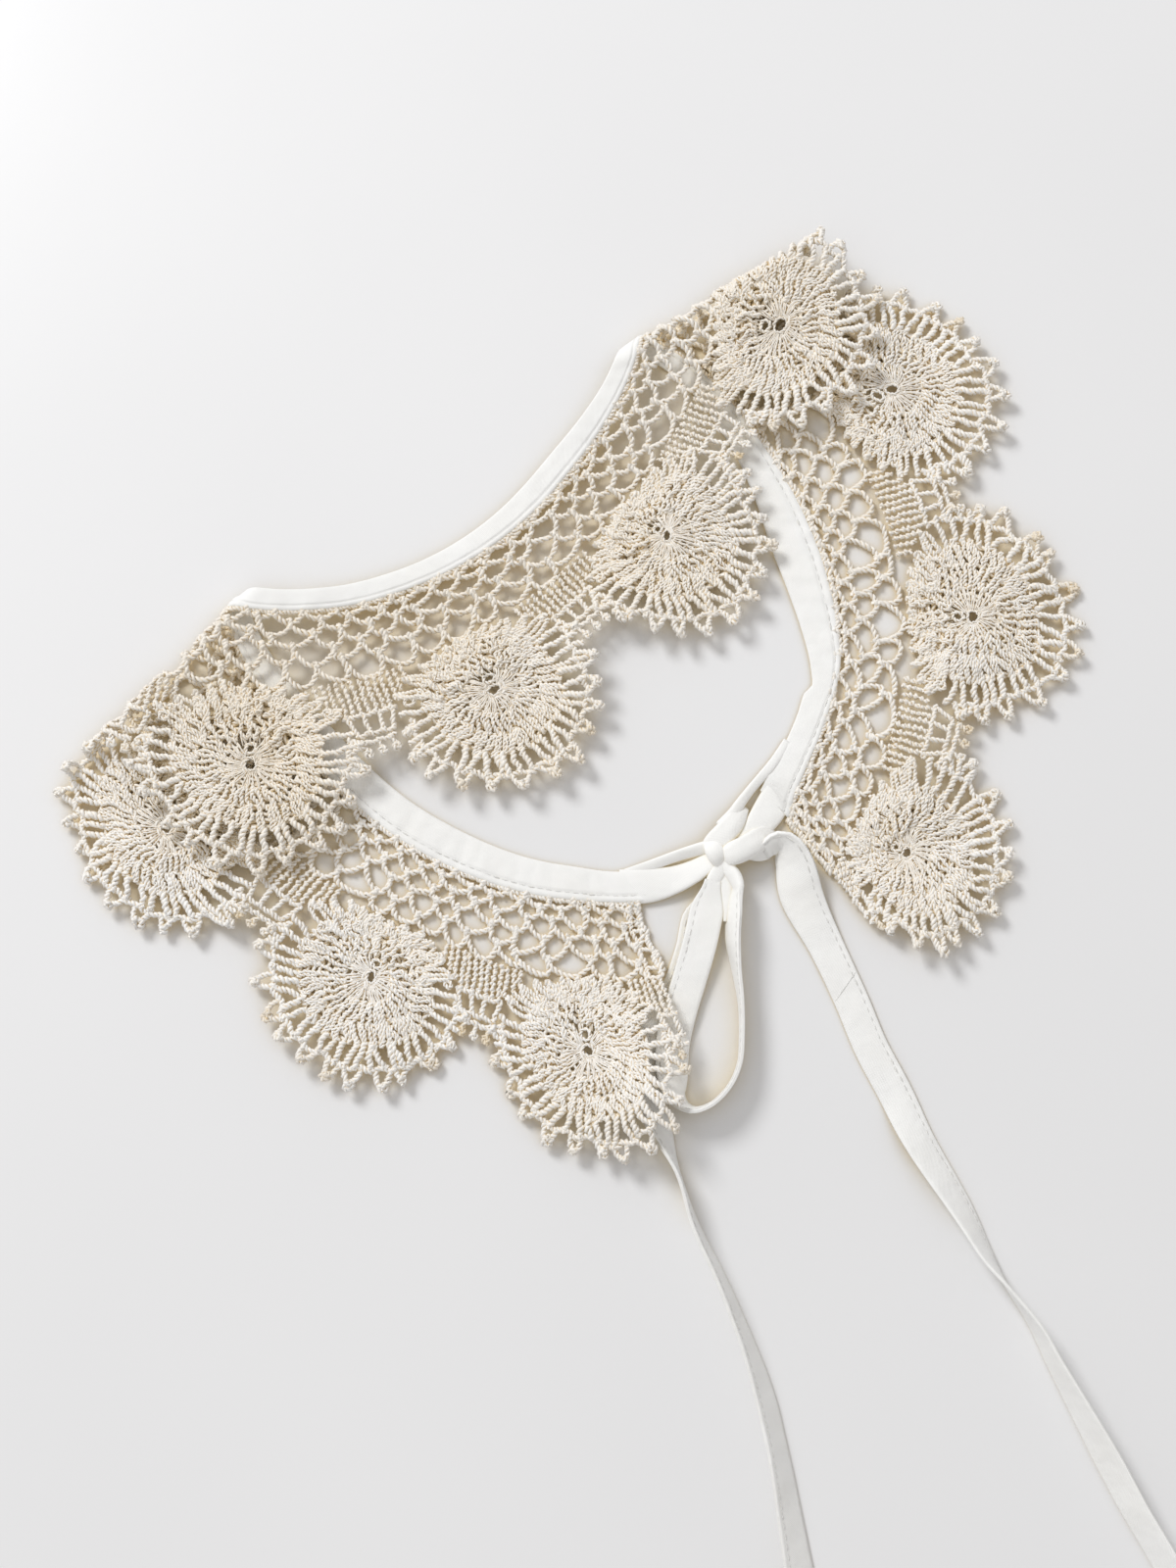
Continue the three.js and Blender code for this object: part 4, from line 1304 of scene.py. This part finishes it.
for node, flat in strip.items():
    print(node, "is", [round(size / MM) for size in flat], "mm, with", len(carried[node]), "pieces")

# %% [markdown]
# ## The neck binding
#
# The same tape closes over the neck edge of the lace like a long hinge and is stitched near its
# lace-side edge. It is thickest where it holds the lace and thins towards its fold. It is swept
# like the ties, but along the neck, so it follows both folds of the collar with it.
#
# On the right front the tape was eased round too tight a curve. It has relaxed and widened, then
# turns a corner over the lace with one small pleat. A table says where its two edges run.

# %% Sweep the binding
BINDING = [node.replace("yoke", "binding") for node in NET]
BINDING_START, BINDING_END, BINDING_STEP = -0.10, 9.98, 0.03
BINDING_LENGTH = (BINDING_END - BINDING_START) * REPEAT_ANGLE * NECK_RADIUS
LEAD_THINNESS = 0.45
PUCKER_RATES = (13, 19, 29, 47, 61)
PUCKER_SIZE, PUCKER_SEED = 0.07, 8
BINDING_SECTION = [
    (0.55, 0.0),
    (0.65, 0.5),
    (0.45, 0.9),
    (-0.3, 1.08),
    (-1.0, 1.06),
    (-1.5, 0.74),
    (-2.0, 1.04),
    (-2.6, 1.02),
    (-4.6, 0.86),
    (-6.8, 0.68),
    (-8.7, 0.5),
    (-9.2, 0.34),
    (-9.35, 0.0),
]
FOLD_EDGE, LACE_EDGE = -9.35, 0.65
TAPE_EDGES = table(("at", "fold", "lace"), [
    (-1.0, FOLD_EDGE, LACE_EDGE),
    (7.3, FOLD_EDGE, LACE_EDGE),
    (7.7, -11.0, 0.6),
    (8.05, -12.2, 0.3),
    (8.37, -10.8, 0.4),
    (8.6, -8.6, 1.4),
    (8.75, -6.7, 2.4),
    (8.86, -5.4, 2.3),
    (8.94, -4.8, 2.0),
    (8.98, -6.4, 1.7),
    (9.12, -7.1, 1.0),
    (9.35, -8.2, 0.4),
    (9.6, FOLD_EDGE, LACE_EDGE),
    (11.0, FOLD_EDGE, LACE_EDGE),
])


def eased(at, out):
    """Where a place across the tape lies once the tape is eased round the neck."""
    share = (out - FOLD_EDGE) / (LACE_EDGE - FOLD_EDGE)
    fold = read(TAPE_EDGES, "fold", at)
    return fold + share * (read(TAPE_EDGES, "lace", at) - fold)


def binding_strip():
    """The tape round the neck, thin at its left end, where it runs into the knot's leaves."""
    top = np.array(BINDING_SECTION)
    section = np.concatenate([top, top[-2:0:-1] * [1, -1]])
    at = np.arange(BINDING_START, BINDING_END, BINDING_STEP)
    rng = np.random.default_rng(PUCKER_SEED)
    sides = len(section)
    place = np.repeat(at, sides)
    out = np.tile(section[:, 0], len(at))
    pucker = sum(np.sin(place * rate + rng.uniform(-0.5, 0.5) * out + rng.uniform(*ANY_TURN))
                 for rate in PUCKER_RATES) * PUCKER_SIZE
    full = LEAD_THINNESS + (1 - LEAD_THINNESS) * smooth_step(BINDING_START, 0.0, place)
    rise = np.tile(section[:, 1], len(at)) * (1 + pucker) * full
    points = above_cloth(place, eased(place, out), rise)
    points[:, 2] = np.maximum(points[:, 2], ABOVE_TABLE)
    piece = new_mesh("neck_binding", points, tube_faces(len(at), sides))
    write_uv(piece, place * REPEAT_ANGLE * NECK_RADIUS, out)
    piece.data.materials.append(bias_tape)
    return piece


binding = binding_strip()
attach(binding, "root")
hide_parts(*BINDING)

# %% [markdown]
# ## Machine stitches
#
# A line of white machine stitches holds the tape shut, 1.5 mm from its open edge. They are the
# thread tree again, at sewing size, along short dashes that sit in the tape's dent.

# %% Lay the stitches
STITCH_LENGTH, STITCH_GAP, STITCH_MARGIN = 1.9, 0.7, 1.0
STITCH_ARCH, STITCH_DIP = 0.22, 0.16
START_STRAY, SIDE_STRAY = 0.08, 0.07
SEWING_SIZES = {"Ply radius": 0.15 * MM, "Twist radius": 0.1 * MM, "Unevenness": 0.1 * MM}
SEWING_PITCH, SEWN_THICK, LOOSE_THICK = 1.8, 1.0, 0.7
BINDING_DENT = 0.8
BINDING_SEED, TIE_SEED = 31, 40


def sewing_runs(paths, thick):
    """What the thread tree is told of sewing threads, which are all alike."""
    return [{"thick": thick, "pitch": SEWING_PITCH, "tan": 0.0}] * len(paths)


def dash(place_at, start, rng):
    """One machine stitch: it dips into the cloth at both ends."""
    t = np.linspace(0, 1, 6)
    along = start + STITCH_LENGTH * t
    rise = np.sin(np.pi * t) ** 0.5 * STITCH_ARCH - STITCH_DIP
    return place_at(along, rng.normal(0, SIDE_STRAY), rise)


def sew(name, length, place_at, seed):
    """A line of machine stitches along a tape of the length given."""
    rng = np.random.default_rng(seed)
    starts = np.arange(STITCH_MARGIN, length - STITCH_LENGTH - STITCH_MARGIN,
                       STITCH_LENGTH + STITCH_GAP)
    paths = [dash(place_at, start + rng.normal(0, START_STRAY), rng) for start in starts]
    piece = spin(name, paths, sewing_runs(paths, SEWN_THICK), sewing_thread, SEWING_SIZES)
    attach(piece, "root")
    print(name, "has", len(paths), "stitches")
    return piece


def along_tape(made):
    """Places in the dent of a tie or of the loop, on its upper side, for its frame."""
    side = made["stitched_side"] * (HALF_TAPE - STITCH_INSET)
    dent = TIE_THICKNESS / 2 * (1 - STITCH_DENT)

    def place_at(along, astray, rise):
        def column(key):
            return np.stack([np.interp(along, made["length"], part) for part in made[key].T], -1)
        keep = np.interp(along, made["length"], made["keep"])[:, None]
        height = dent * puffed(keep) + rise[:, None]
        return column("middle") + column("across") * (side + astray) * keep + column("up") * height

    return place_at


def along_binding(along, astray, rise):
    """Places in the dent of the binding, on its face side."""
    at = BINDING_START + along / (REPEAT_ANGLE * NECK_RADIUS)
    return above_cloth(at, eased(at, astray - STITCH_INSET), BINDING_DENT + rise)


binding_stitches = sew("binding_stitches", BINDING_LENGTH, along_binding, BINDING_SEED)
for seed, (node, made) in enumerate(frames.items(), TIE_SEED):
    sew(f"{node}_stitches", made["length"][-1], along_tape(made), seed)

# %% [markdown]
# ## Signs of handwork
#
# Bias strips are short, so they are joined on the slant, and one such join shows as a fine ridge
# across the right tie. Where the lace was sewn into the tape, a few thread ends were never
# trimmed. All are single threads, so they are more paths for the same tree.

# %% A bias join and loose thread ends
SEAM_AT, SEAM_SLANT, SEAM_RISE = 46.0, 5.0, 0.04
SEAM_FROM, SEAM_WIDTH = -1.2, TAPE_WIDTH - 0.8
PATH_STEPS = 12
LOOSE_ENDS = table(("at", "length", "curl"), [
    (0.02, 5.5, 0.05),
    (0.07, 3.6, -0.06),
    (0.36, 3.0, 0.04),
    (9.62, 4.2, -0.05),
])


def seam_path():
    """Where two bias strips were joined: a fine ridge, slanting across the right tie."""
    t = np.linspace(0, 1, PATH_STEPS)
    astray = (SEAM_FROM + SEAM_WIDTH * t)[:, None]
    rise = np.full_like(t, SEAM_RISE)
    return along_tape(frames["tie_right"])(SEAM_AT + SEAM_SLANT * t, astray, rise)


def loose_end(at, length, curl):
    """A thread end that hangs out of the binding and curls on the lace."""
    t = np.linspace(0, 1, PATH_STEPS)
    return above_cloth(at + curl * np.sin(2.6 * t), 0.3 + length * t, 1.3 + 0.5 * np.sin(3 * t))


ends = [seam_path()] + [loose_end(*row) for row in zip(*LOOSE_ENDS.values())]
thread_ends = spin("seam_and_thread_ends", ends, sewing_runs(ends, LOOSE_THICK), sewing_thread,
                   SEWING_SIZES)
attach(thread_ends, "root")

# %% [markdown]
# ## The half bow's knot
#
# At the knot the tape is squeezed from 9 mm wide to about 5 and puffs up. Each wrap is one short
# sweep of a soft round section, wide and tall as its table says, with creases pressed along it.
# The neck tape's ends run into it the same way: the left one buckles into two leaves with a
# valley between, and the right one lets a narrow leaf go, which leaves a slit.

# %% Routes of the leaves and wraps, from the ring centre
SOFT_ROUTE = ("x", "y", "z", "lean", "width", "tall")
LEAVES = {
    "right_leaf": [
        (70.9, -53.4, 1.1, 0, 9.0, 1.7),
        (67.5, -59.1, 1.3, 0, 8.9, 1.7),
        (65.0, -62.8, 1.9, 4, 8.0, 2.0),
        (62.6, -65.9, 2.8, 10, 6.9, 2.6),
        (59.7, -69.0, 3.8, 14, 5.6, 3.4),
    ],
    "loop_wide_root": [
        (54.8, -73.4, 4.4, 0, 3.8, 3.2),
        (53.6, -76.0, 4.2, 0, 4.1, 2.8),
        (52.1, -78.6, 4.0, 2, 4.2, 2.2),
        (51.4, -80.8, 3.9, 2, 4.3, 1.5),
        (51.0, -83.0, 3.9, 2, 4.4, 0.8),
    ],
    "loop_edge_root": [
        (55.2, -73.4, 4.6, 0, 3.4, 3.2),
        (56.2, -75.8, 4.9, -20, 3.8, 2.9),
        (57.6, -78.2, 5.4, -48, 4.4, 2.8),
        (58.4, -80.6, 5.7, -66, 4.9, 2.4),
        (58.1, -83.2, 5.75, -64, 4.9, 1.0),
    ],
    "loop_inner_fold": [
        (55.0, -73.8, 4.0, 0, 3.6, 2.6),
        (55.3, -77.5, 3.9, 0, 4.2, 2.0),
        (55.4, -81.5, 3.8, 0, 3.8, 1.6),
        (55.1, -86.0, 3.6, 0, 2.6, 1.2),
        (54.9, -90.0, 3.5, 0, 0.9, 0.7),
    ],
    "tail_root": [
        (61.6, -70.4, 4.2, -10, 5.2, 3.0),
        (63.8, -71.0, 4.3, -20, 5.2, 2.2),
        (65.8, -70.9, 4.2, -32, 5.0, 1.7),
        (67.6, -69.6, 4.1, -38, 4.6, 0.8),
    ],
    "narrow_leaf": [
        (72.8, -39.6, 1.2, 0, 2.2, 1.2),
        (68.9, -45.7, 1.3, 0, 2.6, 1.5),
        (65.5, -49.8, 1.5, 10, 2.6, 1.6),
        (62.3, -53.6, 1.9, 20, 2.6, 1.8),
        (59.6, -57.2, 2.4, 20, 2.9, 2.0),
        (57.4, -60.6, 3.2, 10, 3.6, 2.4),
        (54.7, -64.4, 4.0, 0, 5.0, 3.0),
    ],
    "left_upper_leaf": [
        (28.0, -76.2, 0.9, 0, 2.0, 1.0),
        (35.2, -74.2, 1.6, -18, 2.9, 1.5),
        (41.9, -71.9, 2.4, -30, 3.2, 1.6),
        (46.7, -70.5, 3.1, -34, 3.6, 1.8),
        (50.9, -69.5, 3.7, -20, 3.8, 2.4),
    ],
    "left_lower_leaf": [
        (26.4, -80.2, 1.1, 0, 9.5, 1.1),
        (31.2, -80.1, 1.15, 0, 9.8, 2.1),
        (36.0, -79.5, 1.25, 2, 9.4, 2.1),
        (41.9, -78.1, 1.6, 10, 7.8, 2.0),
        (47.2, -75.8, 2.3, 18, 6.6, 2.2),
        (51.2, -73.3, 3.2, 18, 5.6, 2.6),
        (53.5, -71.8, 3.8, 10, 4.6, 3.2),
    ],
}
WRAPS = {
    "upper_wrap": [
        (60.6, -58.4, 1.0, 0, 3.2, 1.8),
        (57.6, -63.0, 4.0, 0, 5.8, 3.8),
        (54.6, -66.6, 5.0, 0, 6.6, 4.6),
        (52.2, -69.0, 4.4, 0, 6.4, 4.2),
        (50.6, -70.8, 2.8, 0, 5.0, 2.6),
    ],
    "left_wrap": [
        (51.3, -68.0, 3.2, 0, 4.2, 2.6),
        (51.7, -69.8, 5.2, 0, 5.0, 4.0),
        (52.6, -71.8, 5.6, 0, 5.2, 4.4),
        (53.8, -73.3, 4.4, 0, 4.8, 3.6),
        (54.8, -74.2, 2.8, 0, 3.8, 2.4),
    ],
    "right_wrap": [
        (68.2, -64.6, 0.9, 0, 4.2, 1.8),
        (64.0, -67.9, 4.2, 0, 6.6, 4.6),
        (60.4, -70.2, 5.6, 0, 6.8, 5.6),
        (57.0, -71.8, 5.8, 0, 6.4, 5.4),
        (55.0, -72.7, 4.0, 0, 4.8, 3.6),
    ],
}
CREASES = table(("side", "depth", "rate", "shift"), [
    (0.45, 0.22, 0.55, 0.3),
    (-0.1, 0.16, 0.9, 1.9),
    (-0.55, 0.24, 0.4, 3.1),
])


# %% Sweep a soft leaf or wrap
SOFT_SIDES, SOFT_STEPS = 24, 10
SIDE_ROUNDNESS, RISE_ROUNDNESS = 0.8, 0.75
CREASE_WIDTH, CREASE_FADE = 0.16, 0.4
KNOT_ABOVE_TABLE = 0.05


def soft_sweep(rows, crease):
    """Points and faces of a soft sweep; crease says how deep the cloth is pressed along it."""
    route = numbered(table(SOFT_ROUTE, rows))
    points = np.stack([route["x"], route["y"], route["z"]], -1)
    place = np.linspace(0, len(points) - 1, SOFT_STEPS * (len(points) - 1) + 1)
    middle = smooth_path(points, place)
    middle[:, :2] += RING_CENTRE
    lean = np.radians(read(route, "lean", place))[:, None]
    across, up = lean_over(np.gradient(middle, axis=0), lean)
    turn = np.linspace(0, 2 * np.pi, SOFT_SIDES, endpoint=False)
    side = np.sign(np.cos(turn)) * np.abs(np.cos(turn)) ** SIDE_ROUNDNESS
    rise = np.sign(np.sin(turn)) * np.abs(np.sin(turn)) ** RISE_ROUNDNESS
    pressed = np.zeros((len(place), SOFT_SIDES))
    for crease_side, depth, rate, shift in zip(*CREASES.values()):
        trough = bell(side, crease_side, CREASE_WIDTH)
        fade = 1 - CREASE_FADE + CREASE_FADE * np.sin(place[:, None] * rate * 2 + shift)
        pressed += depth * trough * fade
    rise = rise * (1 - crease * pressed)
    width, tall = (read(route, column, place)[:, None, None] / 2 for column in ("width", "tall"))
    shell = middle[:, None] + across[:, None] * side[None, :, None] * width
    shell = shell + up[:, None] * rise[..., None] * tall
    shell[..., 2] = np.maximum(shell[..., 2], KNOT_ABOVE_TABLE)
    along = np.repeat(distance_along(middle), SOFT_SIDES)
    sideways = (side * width[..., 0]).ravel()
    return shell.reshape(-1, 3), tube_faces(len(place), SOFT_SIDES), along, sideways


def soft_piece(name, sweeps, crease):
    """Joins several soft sweeps in one piece."""
    points, shells, along, sideways = zip(*(soft_sweep(rows, crease) for rows in sweeps.values()))
    starts = np.cumsum([0] + [len(shell) for shell in points])
    faces = [tuple(start + i for i in face)
             for start, shell in zip(starts.tolist(), shells) for face in shell]
    piece = new_mesh(name, np.concatenate(points), faces)
    write_uv(piece, np.concatenate(along), np.concatenate(sideways))
    piece.data.materials.append(bias_tape)
    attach(piece, "root")
    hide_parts("knot")
    return piece


soft_piece("bow_knot", WRAPS, 1.0)
soft_piece("bow_leaves", LEAVES, 0.55)

# %% [markdown]
# ## The table and the light
#
# The collar lies on a pale painted table near a window. The floor here is a plain pale sheet with
# a slight gloss, and the window is one large soft lamp, low to the upper left, so that each
# stitch throws a short soft shadow to the lower right. A pale sky fills the shadows.
#
# Light that goes through cream thread comes out cream, and it tints the paint that the lace
# covers. Following that light would take far too long, so the paint itself is tinted where little
# sky reaches it. The ties are white and throw no such tint, so it stops where the lace ends.

# %% Floor
PAINT = (0.86, 0.86, 0.872)
PAINT_SHADE = (0.83, 0.83, 0.842)
PAINT_SCALE, PAINT_RAMP = 5, (0.3, 0.8)
BRUSH_SCALE, BRUSH_DEPTH = 90, 0.1 * MM
BOUNCED_CREAM, CREAM_RAMP = (0.66, 0.60, 0.50), (0.45, 0.8, 1.0, 0.0)
DEEP_OCHRE, OCHRE_RAMP = (0.95, 0.82, 0.56), (0.1, 0.5, 1.0, 0.0)
TINT_REACH = 12 * MM
LACE_ENDS_AT = (-150 * MM, -128 * MM)
FLOOR_HALF = 1.6


def pale_table():
    """Pale paint, tinted where the lace is near and shelters it from the sky."""
    material, tree, shader, where = new_material("pale painted table", roughness=0.35, sheen=0)
    patch = remap(tree, noise(tree, where, PAINT_SCALE), *PAINT_RAMP)
    paint = mix_colours(tree, patch, PAINT, PAINT_SHADE)
    near = shelter(tree, TINT_REACH)
    split = add_node(tree, "ShaderNodeSeparateXYZ", {"Vector": where})
    by_lace = remap(tree, split.outputs["Y"], *LACE_ENDS_AT)
    shade = calculate(tree, "MULTIPLY", by_lace, remap(tree, near, *CREAM_RAMP))
    glow = calculate(tree, "MULTIPLY", by_lace, remap(tree, near, *OCHRE_RAMP))
    shaded = mix_colours(tree, shade, paint, BOUNCED_CREAM)
    tree.links.new(mix_colours(tree, glow, shaded, DEEP_OCHRE), shader.inputs["Base Color"])
    bump(tree, shader, noise(tree, where, BRUSH_SCALE, detail=4.0), BRUSH_DEPTH, strength=0.2)
    return material


corners = [(x * FLOOR_HALF, y * FLOOR_HALF, 0) for x, y in ((-1, -1), (1, -1), (1, 1), (-1, 1))]
floor = put_in_scene("floor", bpy.data.meshes.new("floor"))
floor.data.from_pydata(corners, [], [(0, 1, 2, 3)])
floor.data.materials.append(pale_table())


# %% Light
def lamp(name, azimuth, elevation, distance, size, power, colour):
    """A round soft lamp that looks at the collar; azimuth is from +Y towards -X, in degrees."""
    turn, rise = math.radians(azimuth), math.radians(elevation)
    direction = Vector((-math.sin(turn) * math.cos(rise), math.cos(turn) * math.cos(rise),
                        math.sin(rise)))
    light = put_in_scene(name, bpy.data.lights.new(name, "AREA"))
    light.data.shape = "DISK"
    light.data.size = size
    light.data.energy = power
    light.data.color = colour
    light.location = direction * distance
    light.rotation_mode = "QUATERNION"
    light.rotation_quaternion = direction.to_track_quat("Z", "Y")


lamp("window", azimuth=42, elevation=42, distance=2.4, size=0.8, power=34,
     colour=(0.985, 0.995, 1.0))
SKY, SKY_STRENGTH = (1.0, 0.985, 0.968), 0.58
world = bpy.data.worlds.new("pale room")
world.use_nodes = True
sky = world.node_tree.nodes["Background"]
sky.inputs["Color"].default_value = (*SKY, 1)
sky.inputs["Strength"].default_value = SKY_STRENGTH
bpy.context.scene.world = world
bpy.context.scene.view_settings.view_transform = "Standard"
